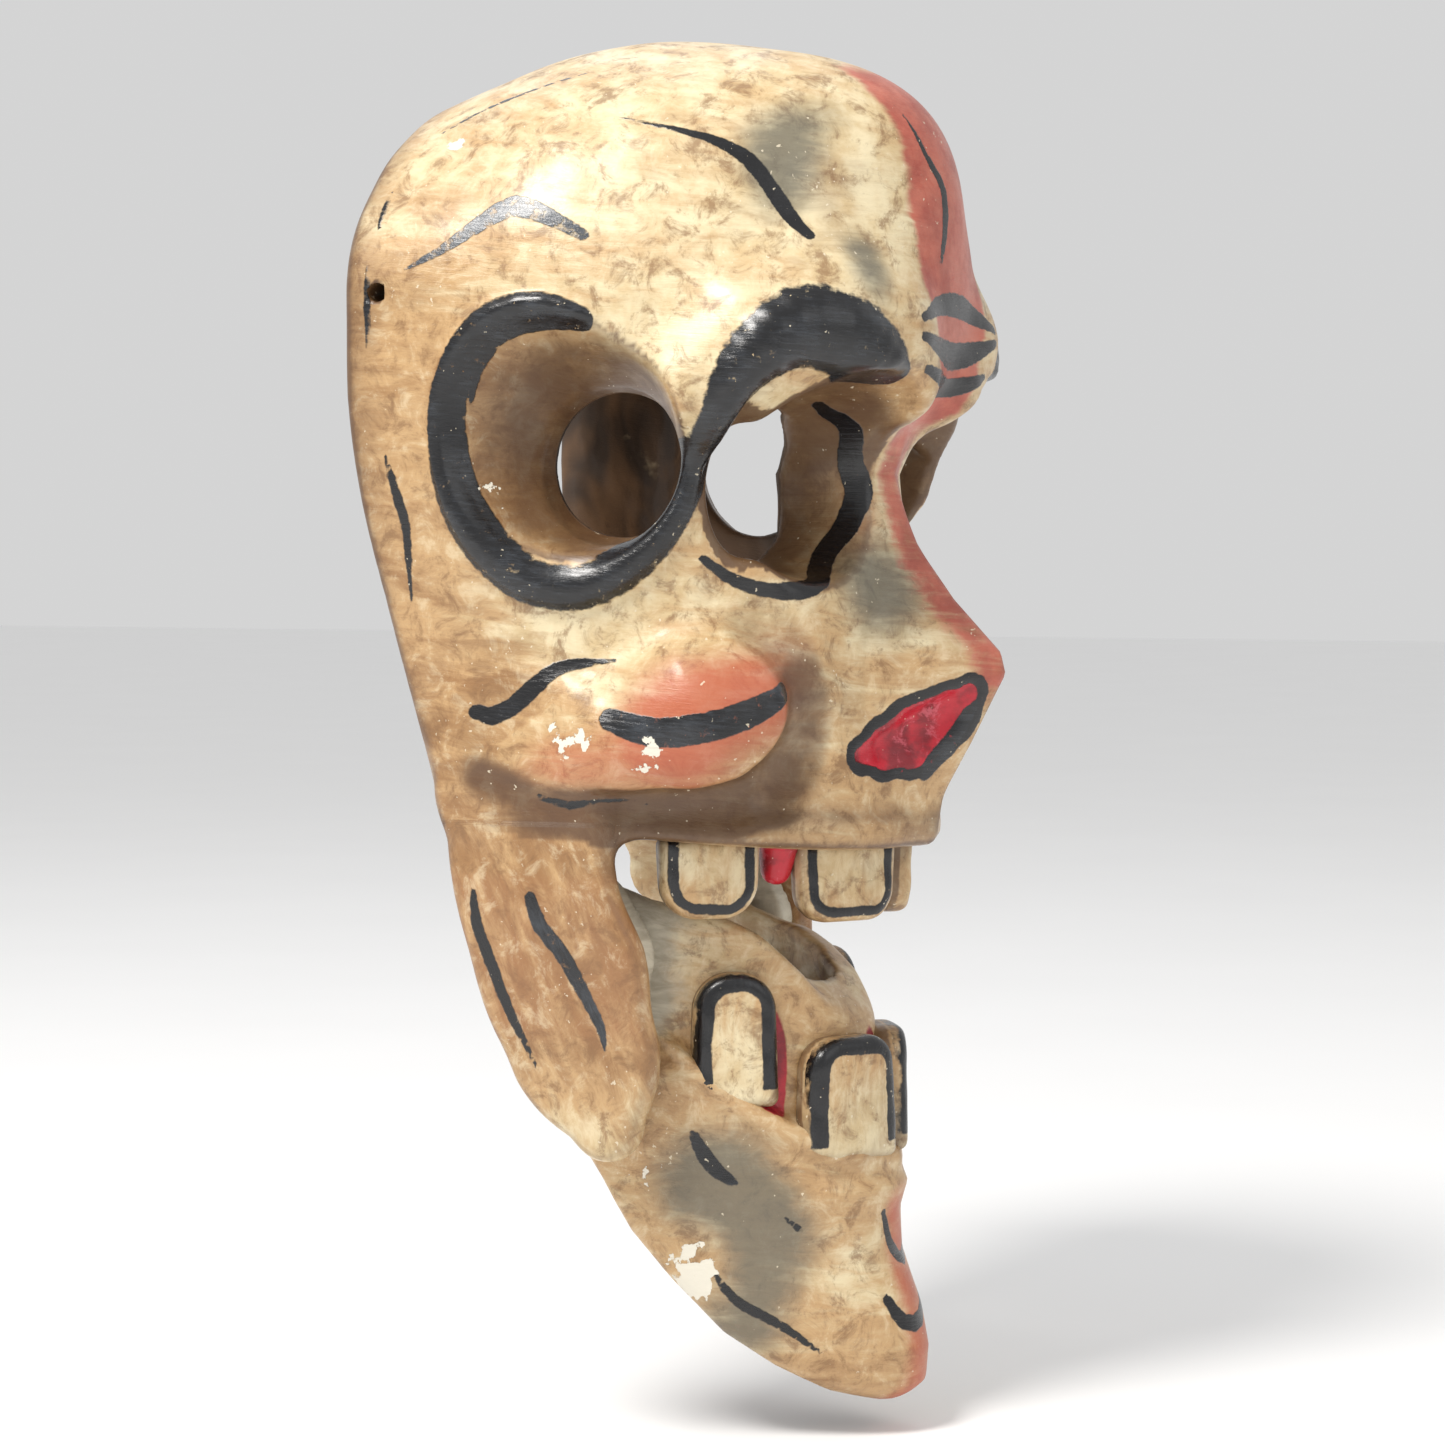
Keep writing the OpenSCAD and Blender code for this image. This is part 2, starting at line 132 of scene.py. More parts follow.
def nose(x, y, z):
    down = CROWN_UP - z
    w = table(down, NOSE_W)
    h = 20 * (1 - np.sqrt(1 - np.minimum((x / (1.25 * w)) ** 2, 0.999))) + 0.55 * np.abs(x)
    f = (h - table(down, NOSE) - y) * 0.62
    return carve(carve(f, np.abs(x) - 1.15 * w, 5), 95 - down, 8)


BROW = [(-60, -77, up(84)), (-52, -90, up(72)), (-40, -101, up(67)), (-26, -109, up(72)), (-17, -112, up(82))]
LEFT_BROW = [(42, -97, up(76)), (46, -95.5, up(90)), (50, -88, up(103)), (51, -80, up(116))]
CHEEK = [(-50, -30, up(167)), (-47.5, -58, up(163)), (-42, -74, up(157)), (-37.5, -83, up(152))]


def lip(y):
    """Height of the underside of the upper lip, as a distance under the crown."""
    return 179.7 - 0.075 * y




def face(x, y, z):
    ax = -np.abs(x)
    f = shell(x, y, z, 0, 0, 0, 2.45) + 0.55 * wobble(x, y, z, 15, 3)
    f = join(f, nose(x, y, z), 8)
    f = join(f, bars(ax, y, z, BROW, (9, 12, 14, 13, 9)), 10)
    f = join(f, bars(x, y, z, LEFT_BROW, (13, 12.5, 11.5, 9)), 8)
    f = join(f, bars(ax, y, z, CHEEK, (13, 18.5, 22, 19), 6), 5)
    down = CROWN_UP - z
    ledge = carve(shell(x, y, z, -1.2, -1.6, 0, 2.45), np.abs(down - lip(y) + 4) - 3.6, 3)
    return join(f, ledge, 3)


def root(fn, angle, down, lo=20.0, hi=150.0):
    """Outermost place where fn is zero, at these angles round the face and heights under the crown."""
    angle, down = np.atleast_1d(np.radians(angle)).astype(float), np.atleast_1d(down).astype(float)
    r = np.arange(hi, lo, -0.5)
    x = -np.sin(angle)[:, None] * r
    y = -30 - np.cos(angle)[:, None] * r
    z = np.repeat(up(down)[:, None], len(r), 1)
    f = fn(x, y, z)
    i = np.maximum(np.argmax(f < 0, axis=1), 1)
    k = np.arange(len(angle))
    f0, f1 = f[k, i - 1], f[k, i]
    t = f0 / (f0 - f1 + 1e-9)
    rr = r[i - 1] + (r[i] - r[i - 1]) * np.clip(t, 0, 1)
    return np.stack([-np.sin(angle) * rr, -30 - np.cos(angle) * rr, up(down)], 1)


def smooth_path(rows, gap=3.0):
    """Catmull-Rom through (angle, down, half width) rows."""
    p = np.array(rows, float)
    p = np.vstack([2 * p[0] - p[1], p, 2 * p[-1] - p[-2]])
    out = []
    for a, b, c, d in zip(p[:-3], p[1:-2], p[2:-1], p[3:]):
        n = max(int(np.hypot(c[0] - b[0], c[1] - b[1]) / gap), 1)
        for t in np.arange(n) / n:
            out.append(0.5 * (2 * b + (c - a) * t + (2 * a - 5 * b + 4 * c - d) * t * t
                              + (3 * b - a - 3 * c + d) * t**3))
    out.append(p[-2])
    out = np.array(out)
    out[:, 2] = np.maximum(out[:, 2], 0.2)
    return out


# raised band round the temple, over the bar and along the brow: angle, down, half width
BAND = [(69.6, 68.8, 3.2), (76, 66.8, 4.3), (84, 68.5, 4.6), (90, 76, 4.3), (93.6, 87, 4.2), (94.4, 98, 4.3),
        (92.8, 109, 4.7), (88, 118.5, 5.2), (80, 125.6, 5.6), (70, 127.4, 5.4), (62, 124, 4.9), (55.8, 117, 4.6),
        (51.5, 108, 4.3), (48.8, 98, 4.2), (48, 89, 4.9), (45.2, 79.5, 6.4), (39.8, 72, 8.6), (33.5, 69.6, 10.0),
        (27.8, 72, 10.0), (23.4, 76.5, 8.6), (20.8, 82, 5.8), (19.6, 86.5, 3.0)]
band = smooth_path(BAND)
BAND_PROUD = 3.0


def band_line(side):
    at = root(face, band[:, 0] * side, band[:, 1])
    out = (at - [0, -30, 0]) * [1, 1, 0]
    out /= np.linalg.norm(out, axis=1)[:, None]
    return at - out * (band[:, 2] - BAND_PROUD)[:, None]


band_mid = {1: band_line(1), -1: band_line(-1)}


def band_relief(x, y, z):
    out = np.full(np.shape(x), 60.0)
    for side, mid in band_mid.items():
        near = (x * side < -15) & (z < up(45)) & (z > up(150))
        out[near] = bars(x[near], y[near], z[near], mid, band[:, 2])
    return out


def hollow(x, y, z):
    rim = 12 * ease((y + 26) / 20) * (1 - ease((CROWN_UP - z - 125) / 20))
    f = shell(x, y, z, 14 + rim, 24, 16, 2.2) + 0.9 * wobble(x, y, z, 5, 11)
    # thick wood is left round the temple holes, so that they are deep
    boss = carve(bar(-np.abs(x), y, z, (-70, -56, up(100)), (-30, -60, up(101)), 27, 22), 44 - np.abs(x), 4)
    return carve(f, -boss, 6)


def sockets(x, y, z):
    ax = -np.abs(x)
    eye = join(bar(ax, y, z, (-35.6, -114, up(105)), (-29, -80, up(105)), 25.6, 17.2),
               bar(ax, y, z, (-29, -80, up(105)), (-22, -52, up(105)), 16.8, 15), 3)
    # the socket is undercut toward the temple, so that it is seen through from the side
    side = np.hypot((ax + 48) * SIGHT[1] - (y + 86.1) * SIGHT[0], (z - up(106)) / 1.9) - 7.8
    side = np.maximum(side, np.maximum(-54 - ax, ax + 14))
    temple = join(bar(ax, y, z, (-81, -53, up(96.5)), (-53, -57, up(100.5)), 33.4, 17.6),
                  bar(ax, y, z, (-53, -57, up(100.5)), (-33, -60.5, up(101.5)), 16.4, 13.2), 3)
    return join(eye, side, 3), temple


SIGHT = (0.9353, 0.3538)
NOSTRIL = [(17.5, 166.0, 2.0), (12.5, 164.5, 5.2), (8.2, 162.0, 8.0), (5.2, 157.5, 6.4), (4.0, 153.0, 3.0)]
nostril_at = root(face, [r[0] for r in NOSTRIL], [r[1] for r in NOSTRIL])
nostril_r = np.array([r[2] for r in NOSTRIL])
nostril_sunk = np.array([1.0, 2.6, 3.6, 3.0, 1.2])
nostril_mid = nostril_at + np.array([-0.62, -0.78, -0.1]) * (nostril_r - nostril_sunk)[:, None]


def plate(x, y, z):
    """Cheek plate hanging over the jaw arm."""
    down = CROWN_UP - z
    spine = [(-38, 166, 0), (-38, 195, 0), (-44.5, 215, 0), (-50.5, 235, 0), (-55, 250, 0)]
    outline = bars(y, down, 0 * x, spine, (21, 20, 20.5, 16.5, 8), 6)
    middle = 58.4 - 7.6 * ease((down - 192) / 66) - 2.2 * ease((-y - 44) / 30) - 1.5 * ease((y + 26) / 12)
    ridge = 1.0 * np.exp(-(((y + 36 + 0.28 * (down - 190)) / 7) ** 2))
    return carve(outline, np.abs(np.abs(x) - middle) - 4.4 - ridge * (np.abs(x) > middle), 5.5)


def skull(x, y, z):
    ax = -np.abs(x)
    down = CROWN_UP - z
    f = join(face(x, y, z), band_relief(x, y, z), 1.6)
    f = carve(f, -bars(ax, y, z, groove_mid, groove_r, 3), 4)
    f = carve(f, -bars(ax, y, z, nostril_mid, nostril_r), 1.4)
    f = carve(f, -hollow(x, y, z), 4)
    f = carve(f, down - lip(y), 2.5)
    f = join(f, plate(x, y, z), 6)
    eye, temple = sockets(x, y, z)
    f = carve(f, -eye, 4)
    f = carve(f, -temple, 3)
    gum = bars(ax, y, z, [(-25.5, -87, up(184)), (-25, -86, up(192.5))], (5.4, 3.6))
    f = join(f, gum, 2)
    f = carve(f, y, 5)
    f = carve(f, (y + 0.22 * (down - 105)) * 0.975, 5)
    hang = np.maximum(np.hypot(x, z) - 2.5, -y - 10)
    tie = np.hypot(y + 9, z - up(62)) - 2.2
    return np.maximum(np.maximum(f, -hang), -tie)


# crease round the cheekbone: angle, height under the crown, radius, depth
CREASE = [(44, 128, 6, 0.6), (38, 134, 7, 1.6), (33, 141, 8, 3.0), (30.2, 149, 8, 4.0), (29.4, 158, 8, 4.2),
          (31, 166, 7.5, 4.4), (35.5, 172.5, 7, 4.8), (43, 176.6, 6, 5.0), (54, 178, 5.5, 5.0), (66, 177.6, 5, 4.4),
          (79, 175.6, 4.5, 3.2), (90, 170, 4, 1.2)]
groove_at = root(face, [r[0] for r in CREASE], [r[1] for r in CREASE])
groove_r = np.array([r[2] for r in CREASE], float)
groove_out = (groove_at - [0, -30, 0]) * [1, 1, 0]
groove_out /= np.linalg.norm(groove_out, axis=1)[:, None]
groove_mid = groove_at + groove_out * (groove_r - np.array([r[3] for r in CREASE]))[:, None]

# ---------------------------------------------------------------- the jaw's curves
BORDER = [(36, 246), (44, 256), (49, 265), (55, 277), (64, 289), (74, 301), (84, 309), (95, 315.5), (107, 319.3),
          (118, 320.5)]
JAW_HALF = [(190, 49.5), (230, 49.5), (255, 48), (270, 46.5), (285, 44), (300, 39), (312, 32), (320, 26)]
JAW_FRONT = [(190, 104), (255, 105), (262, 106), (268, 108.5), (274, 107), (284, 107.5), (296, 112), (306, 114.5),
             (314, 114), (320, 109)]


def arch(x, y, a, d):
    fx, fy = np.abs(x) / a, np.maximum(-y, 0) / d
    f = (fx**2.05 + fy**2.05 + 1e-12) ** (1 / 2.05)
    g = np.sqrt(((fx / f) ** 1.05 / a) ** 2 + ((fy / f) ** 1.05 / d) ** 2)
    return (f - 1) / np.maximum(g, 1 / 90)


# seen from the side, by distance in front of the back rim: the lip under the teeth, and the top of the wall
LEDGE = [(37, 206), (50, 219), (58, 226.5), (65.7, 233), (69.3, 236.4), (75.3, 241.8), (82.3, 247.3),
         (89.1, 252.3),
         (95.6, 256.3), (101.6, 259.8), (106, 261.5)]
RIM = [(37, 195), (52, 197), (58, 199.6), (72, 203.3), (82, 206.6), (90, 211.6), (97, 218.2),
       (103, 224.5), (108, 228)]


def jaw_skin(x, y, z):
    down = CROWN_UP - z
    inset = 4.2 * ease((table(-y, LEDGE) - down + 1) / 4.5)
    f = arch(x, y, table(down, JAW_HALF) - inset, table(down, JAW_FRONT) - inset)
    return f + 0.4 * wobble(x, y, z, 11, 5)


ledge_at = root(jaw_skin, [50, 43.6, 37, 30.2, 23.6, 17, 10, 0],
                [232, 237.4, 243, 248.3, 253.2, 257, 259.8, 261.4])


def jaw(x, y, z):
    ax = -np.abs(x)
    down = CROWN_UP - z
    f = jaw_skin(x, y, z)
    f = join(f, bars(ax, y, z, ledge_at, (1.6, 2.4, 2.6, 2.6, 2.6, 2.6, 2.4, 2.4)), 3)
    f = carve(f, (down - table(-y, BORDER)) * 0.7, 6)
    f = carve(f, (table(-y, RIM) + 8 * ease((x + 28) / 16) - down) / 1.15 + 0.6 * wobble(x, y, z, 7, 9), 3)
    f = carve(f, y + 37, 4)
    inner = arch(x, y, table(down, JAW_HALF) - 11, table(down, JAW_FRONT) - 15) + 0.7 * wobble(x, y, z, 5, 21)
    inner = carve(inner, (down - table(-y, BORDER) + 22) * 0.7, 8)
    f = carve(f, -carve(inner, down - 296, 6), 3)
    slab = np.abs(np.abs(x) - 46) - 4.6
    w, v = y - PIVOT_Y, z - up(PIVOT_DOWN)
    arm = join(np.hypot(w, v) - 15, np.hypot(y + 28, z - up(191)) - 8, 2)
    arm = join(arm, np.hypot(y + 31, z - up(200)) - 9, 2)
    arm = join(arm, np.hypot(y + 51, z - up(212)) - 12, 3)
    f = join(f, carve(arm, slab, 1.5), 2.5)
    f = join(f, carve(np.hypot(y + 50, z - up(224)) - 12, np.abs(np.abs(x) - 43.4) - 3, 1.5), 3)
    # the arms stay clear of the cheek plates from open to closed
    for turn in (0.0, 0.5 * CLOSED, CLOSED):
        c, s = math.cos(turn), math.sin(turn)
        f = np.maximum(f, PLATE_GAP - plate(x, PIVOT_Y + c * w + s * v, up(PIVOT_DOWN) - s * w + c * v))
    bore = np.hypot(w, v) - BORE_R
    return np.maximum(f, -bore)


# ---------------------------------------------------------------- teeth
# centre, the angle it faces, width, height, thickness, corner radius, 1 for an upper tooth
TEETH = {
    "upper_front_tooth": ((-13.8, -98.2, up(195.5)), 39, 25.5, 19, 9, 7.0, 1),
    "upper_side_tooth": ((-38.4, -74.4, up(193.5)), 54, 23, 19, 9, 8.0, 1),
    "lower_front_tooth": ((-12.4, -98.6, up(246.3)), 31, 25.5, 29, 10, 7.5, 0),
    "lower_side_tooth": ((-30.2, -77.6, up(231.5)), 58, 19.5, 31, 10, 8.5, 0),
}


def tooth_frame(x, y, z, spec):
    (cx, cy, cz), angle = spec[0], math.radians(spec[1])
    dx, dy, dz = x - cx, y - cy, z - cz
    across = -dx * math.cos(angle) + dy * math.sin(angle)
    out = -dx * math.sin(angle) - dy * math.cos(angle)
    return across, out, dz


def tooth_outline(u, w, spec):
    """Signed distance to the tooth's front outline, w counted up."""
    _, _, width, height, _, r, upper = spec
    s = -w if upper else w  # towards the biting edge
    taper = 1.0 * (s / height)
    r_here = np.where(s > 0, r, 2.5)
    qx = np.abs(u) - (width / 2 - taper - r_here)
    qz = np.abs(w) - (height / 2 - r_here)
    return np.hypot(np.maximum(qx, 0), np.maximum(qz, 0)) + np.minimum(np.maximum(qx, qz), 0) - r_here


def tooth_shape(spec):
    def f(x, y, z):
        u, v, w = tooth_frame(x, y, z, spec)
        d = tooth_outline(u, w, spec)
        belly = 0.9 * np.clip(1 - (u / 13) ** 2, 0, 1) + 0.5 * wobble(x, y, z, 6, 2)
        d = carve(d, np.abs(v) - (spec[4] / 2 - 0.9 + belly * (v > 0)), 3.2)
        down = CROWN_UP - z
        return np.maximum(d, lip(y) + 0.03 - down) if spec[6] else carve(d, down - table(-y, LEDGE) - 1.5, 1)
    return f


# ---------------------------------------------------------------- skin of a shape: sparse surface nets
def skin(fn, low, high, step, reach=2.4):
    low = np.array(low, float)
    n = np.ceil((np.array(high) - low) / step).astype(int) + 1
    n += (-(n - 1)) % 4
    axes = [low[i] + step * np.arange(n[i]) for i in range(3)]
    coarse = [a[::4] for a in axes]
    cx, cy, cz = np.meshgrid(*coarse, indexing="ij")
    far = fn(cx, cy, cz)
    near = np.abs(far) < step * 4 * reach
    for ax in range(3):
        near = near | np.roll(near, 1, ax) | np.roll(near, -1, ax)
    values = np.kron(far[:-1, :-1, :-1], np.ones((4, 4, 4), np.float32))
    values = np.pad(values, [(0, 1)] * 3, mode="edge").astype(np.float32)
    live = np.kron(near[:-1, :-1, :-1], np.ones((4, 4, 4), bool))
    live = np.pad(live, [(0, 1)] * 3, mode="edge")
    at = np.argwhere(live)
    for s in range(0, len(at), 400000):
        part = at[s:s + 400000]
        values[tuple(part.T)] = fn(*(axes[i][part[:, i]] for i in range(3)))
    solid = values < 0
    total = np.zeros(n - 1, np.int8)
    for a in (0, 1):
        for b in (0, 1):
            for c in (0, 1):
                total += solid[a:n[0] - 1 + a, b:n[1] - 1 + b, c:n[2] - 1 + c]
    active = (total > 0) & (total < 8)
    cells = np.argwhere(active)
    index = -np.ones(active.shape, np.int64)
    index[active] = np.arange(len(cells))
    place, count = np.zeros((len(cells), 3)), np.zeros(len(cells))
    for ax in range(3):
        other = [k for k in range(3) if k != ax]
        for a in (0, 1):
            for b in (0, 1):
                offset = np.zeros(3, int)
                offset[other[0]], offset[other[1]] = a, b
                p = cells + offset
                q = p.copy()
                q[:, ax] += 1
                vp, vq = values[tuple(p.T)], values[tuple(q.T)]
                cross = (vp < 0) != (vq < 0)
                t = np.where(cross, vp / (vp - vq + 1e-20), 0)
                spot = np.repeat(offset[None].astype(float), len(cells), 0)
                spot[:, ax] += t
                place[cross] += spot[cross]
                count[cross] += 1
    verts = low + (cells + place / count[:, None]) * step
    faces = []
    for ax in range(3):
        o1, o2 = (ax + 1) % 3, (ax + 2) % 3
        lo_cut = [slice(1, n[k] - 1) for k in range(3)]
        hi_cut = list(lo_cut)
        lo_cut[ax], hi_cut[ax] = slice(0, n[ax] - 1), slice(1, n[ax])
        a, b = solid[tuple(lo_cut)], solid[tuple(hi_cut)]
        edge = np.argwhere(a != b)
        inside = a[tuple(edge.T)]
        edge[:, o1] += 1
        edge[:, o2] += 1
        quad = []
        for d1, d2 in ((1, 1), (0, 1), (0, 0), (1, 0)):
            c = edge.copy()
            c[:, o1] -= d1
            c[:, o2] -= d2
            quad.append(index[tuple(c.T)])
        quad = np.stack(quad, 1)
        quad[~inside] = quad[~inside][:, ::-1]
        faces.append(quad)
    for _ in range(2):
        g = gradient(fn, verts)
        d = fn(*verts.T)
        move = -(d / np.maximum((g * g).sum(1), 0.2))[:, None] * g
        size = np.linalg.norm(move, axis=1, keepdims=True)
        verts = verts + move * np.minimum(1, 0.6 * step / np.maximum(size, 1e-9))
    return verts, np.concatenate(faces)


def gradient(fn, v, e=0.3):
    x, y, z = v.T
    return np.stack([fn(x + e, y, z) - fn(x - e, y, z), fn(x, y + e, z) - fn(x, y - e, z),
                     fn(x, y, z + e) - fn(x, y, z - e)], 1) / (2 * e)


def make(name, verts, faces, material, marks=None, flip=False):
    if flip:
        verts = verts * [-1, 1, 1]
        faces = faces[:, ::-1]
    mesh = bpy.data.meshes.new(name)
    mesh.vertices.add(len(verts))
    mesh.vertices.foreach_set("co", (verts * MM).astype(np.float32).ravel())
    mesh.loops.add(faces.size)
    mesh.loops.foreach_set("vertex_index", faces.ravel().astype(np.int32))
    mesh.polygons.add(len(faces))
    mesh.polygons.foreach_set("loop_start", np.arange(0, faces.size, faces.shape[1], dtype=np.int32))
    mesh.update(calc_edges=True)
    mesh.polygons.foreach_set("use_smooth", np.ones(len(faces), bool))
    for key, value in (marks or {}).items():
        kind = "FLOAT_VECTOR" if value.ndim == 2 else "FLOAT"
        layer = mesh.attributes.new(key, kind, "POINT")
        layer.data.foreach_set("vector" if value.ndim == 2 else "value", value.astype(np.float32).ravel())
    mesh.materials.append(material)
    obj = bpy.data.objects.new(name, mesh)
    bpy.context.scene.collection.objects.link(obj)
    return obj


# ---------------------------------------------------------------- paint: brush strokes and washes
# each stroke is a list of (angle round the face, height under the crown, half width) in degrees and mm
SKULL_STROKES = [
    ([(100.8, 57, 0.3), (94.6, 53, 1.1), (87.8, 47, 2.0), (81.5, 43.2, 2.7), (74.7, 46, 1.9), (68.7, 50, 1.4)], 0.75),
    ([(61.4, 22.9, 0.2), (50, 26.2, 0.8), (43.5, 29, 1.3), (39.1, 33, 1.8), (36.4, 38.5, 1.9), (34.2, 45.3, 2.0),
      (32.5, 49.8, 1.4)], 0.15),
    ([(107.6, 74, 0.4), (107.4, 64, 0.9), (107.5, 55, 0.3)], 0.3),
    ([(107.1, 49, 0.3), (108.2, 43, 0.8), (108.7, 39, 0.3)], 0.3),
    ([(107.4, 25, 0.3), (99.8, 19.8, 0.6), (83.2, 14.5, 0.6), (64.5, 10.4, 0.3)], 0.45),
    ([(105.7, 98, 0.3), (104.5, 106, 1.2), (103.3, 115, 1.1), (104, 130.6, 0.3)], 0.1),
    ([(91.3, 155.6, 1.7), (87.8, 156.6, 2.1), (83.6, 154.6, 2.1), (79.4, 150.5, 2.1), (73.4, 145.5, 1.6),
      (62.8, 143.8, 0.4)], 0.2),
    ([(64.1, 156.6, 2.6), (57.4, 159.4, 3.4), (49.7, 158.2, 3.4), (41.6, 154.6, 3.1), (35.9, 150.4, 2.2)], 0.35),
    ([(77.9, 174.3, 0.6), (71.4, 176.2, 1.0), (65.8, 174.9, 0.6), (55.9, 176.1, 0.3)], 0.1),
    ([(92.5, 195.4, 0.5), (92.2, 202.7, 1.4), (89.5, 211.8, 1.5), (85.7, 223.3, 1.3), (79.4, 237, 0.4)], 0.1),
    ([(79.8, 197, 1.4), (77.8, 203.3, 1.8), (73.8, 208.9, 1.8), (69.8, 216.9, 1.6), (65.7, 226.1, 1.1),
      (64.6, 231.9, 0.4)], 0.4),
]
EYE_STROKE = [(19.2, 86.5, 1.7), (12.4, 92, 2.7), (9.2, 103, 3.4), (9.4, 109, 3.2), (12.4, 116.5, 3.0),
              (20.5, 124.6, 2.8), (29.5, 128.4, 2.2), (36.5, 128.0, 1.7), (42.5, 125.0, 1.4), (47.2, 121.0, 0.9)]
BROW_HOOK = [(23.5, 77, 5.4), (21.2, 84, 5.0), (20.0, 89, 4.0), (19.2, 93, 2.6), (18.8, 96.5, 1.0)]
MIDDLE_STROKES = [
    ([(9.6, 18.4, 0.3), (7.5, 29.7, 0.9), (4.1, 37.2, 1.3), (4.4, 46.4, 1.4), (6.5, 54.6, 0.6)], 0.1),
    ([(16.6, 67.4, 1.0), (9, 64.2, 2.2), (0, 63.4, 2.9), (-8, 65, 2.4), (-15, 68, 0.9)], 0.1),
    ([(17.0, 71.6, 1.0), (9, 73.6, 2.4), (0, 75, 3.3), (-8, 73.6, 2.6), (-15, 71, 1.1)], 0.1),
    ([(14.5, 78.6, 1.0), (7, 80.8, 2.2), (0, 82.4, 2.9), (-7, 81, 2.0), (-12, 79, 0.8)], 0.1),
]
JAW_STROKES = [
    ([(42.2, 253, 1.2), (38.4, 260, 2.0), (33.8, 264.2, 0.9)], 0.3),
    ([(24.4, 272.7, 0.4), (21.5, 275.7, 0.8)], 0.1),
    ([(36.3, 285.9, 0.7), (32.1, 291.8, 1.2), (24, 297.8, 1.1), (17.4, 304.5, 0.6)], 0.1),
]
CHIN_STROKES = [
    ([(5.3, 273.5, 0.9), (3.3, 281.6, 1.4), (-1.2, 285.7, 1.7), (-5.5, 282, 1.3), (-7, 275, 0.8)], 0.1),
    ([(7.1, 293.5, 1.4), (4.6, 299, 1.9), (-0.5, 299.5, 2.0), (-5.5, 294, 1.5)], 0.1),
]


class Paint:
    """Keeps, for each vertex, the distance to the nearest stroke and how worn that stroke is."""

    def __init__(self, verts):
        self.v = verts
        self.ink = np.full(len(verts), 12.0)
        self.worn = np.zeros(len(verts))

    def stroke(self, rows, worn, fn, mirror=False, sunk=None):
        path = smooth_path(rows, 2.5)
        at = root(fn, path[:, 0], path[:, 1])
        self.stroke_3d(at, path[:, 2], worn, mirror)

    def stroke_3d(self, at, half, worn, mirror=False):
        at = at * [-1, 1, 1] if mirror else at
        lo, hi = at.min(0) - 14, at.max(0) + 14
        near = ((self.v > lo) & (self.v < hi)).all(1)
        d = bars(*self.v[near].T, at, half)
        closer = d < self.ink[near]
        keep = np.where(near)[0][closer]
        self.ink[keep] = d[closer]
        self.worn[keep] = worn


def blob(v, centre, radius, squash=(1, 1, 1)):
    """Soft patch: 1 at the centre, 0 beyond the radius."""
    d = np.linalg.norm((v - np.array(centre)) / np.array(squash), axis=1)
    return ease(1 - d / radius)


def at(fn, angle, down):
    return root(fn, angle, down)[0]


def recess(fn, v, normal, reach):
    """How enclosed a place is: 0 on an open face, near 1 at the bottom of a crease."""
    p = v + normal * reach
    return np.clip(1 - fn(*p.T) / reach, 0, 1)


def sides(v):
    """Mirrors points of the left half onto the right, so that one set of patches paints both."""
    return np.stack([-np.abs(v[:, 0]), v[:, 1], v[:, 2]], 1)


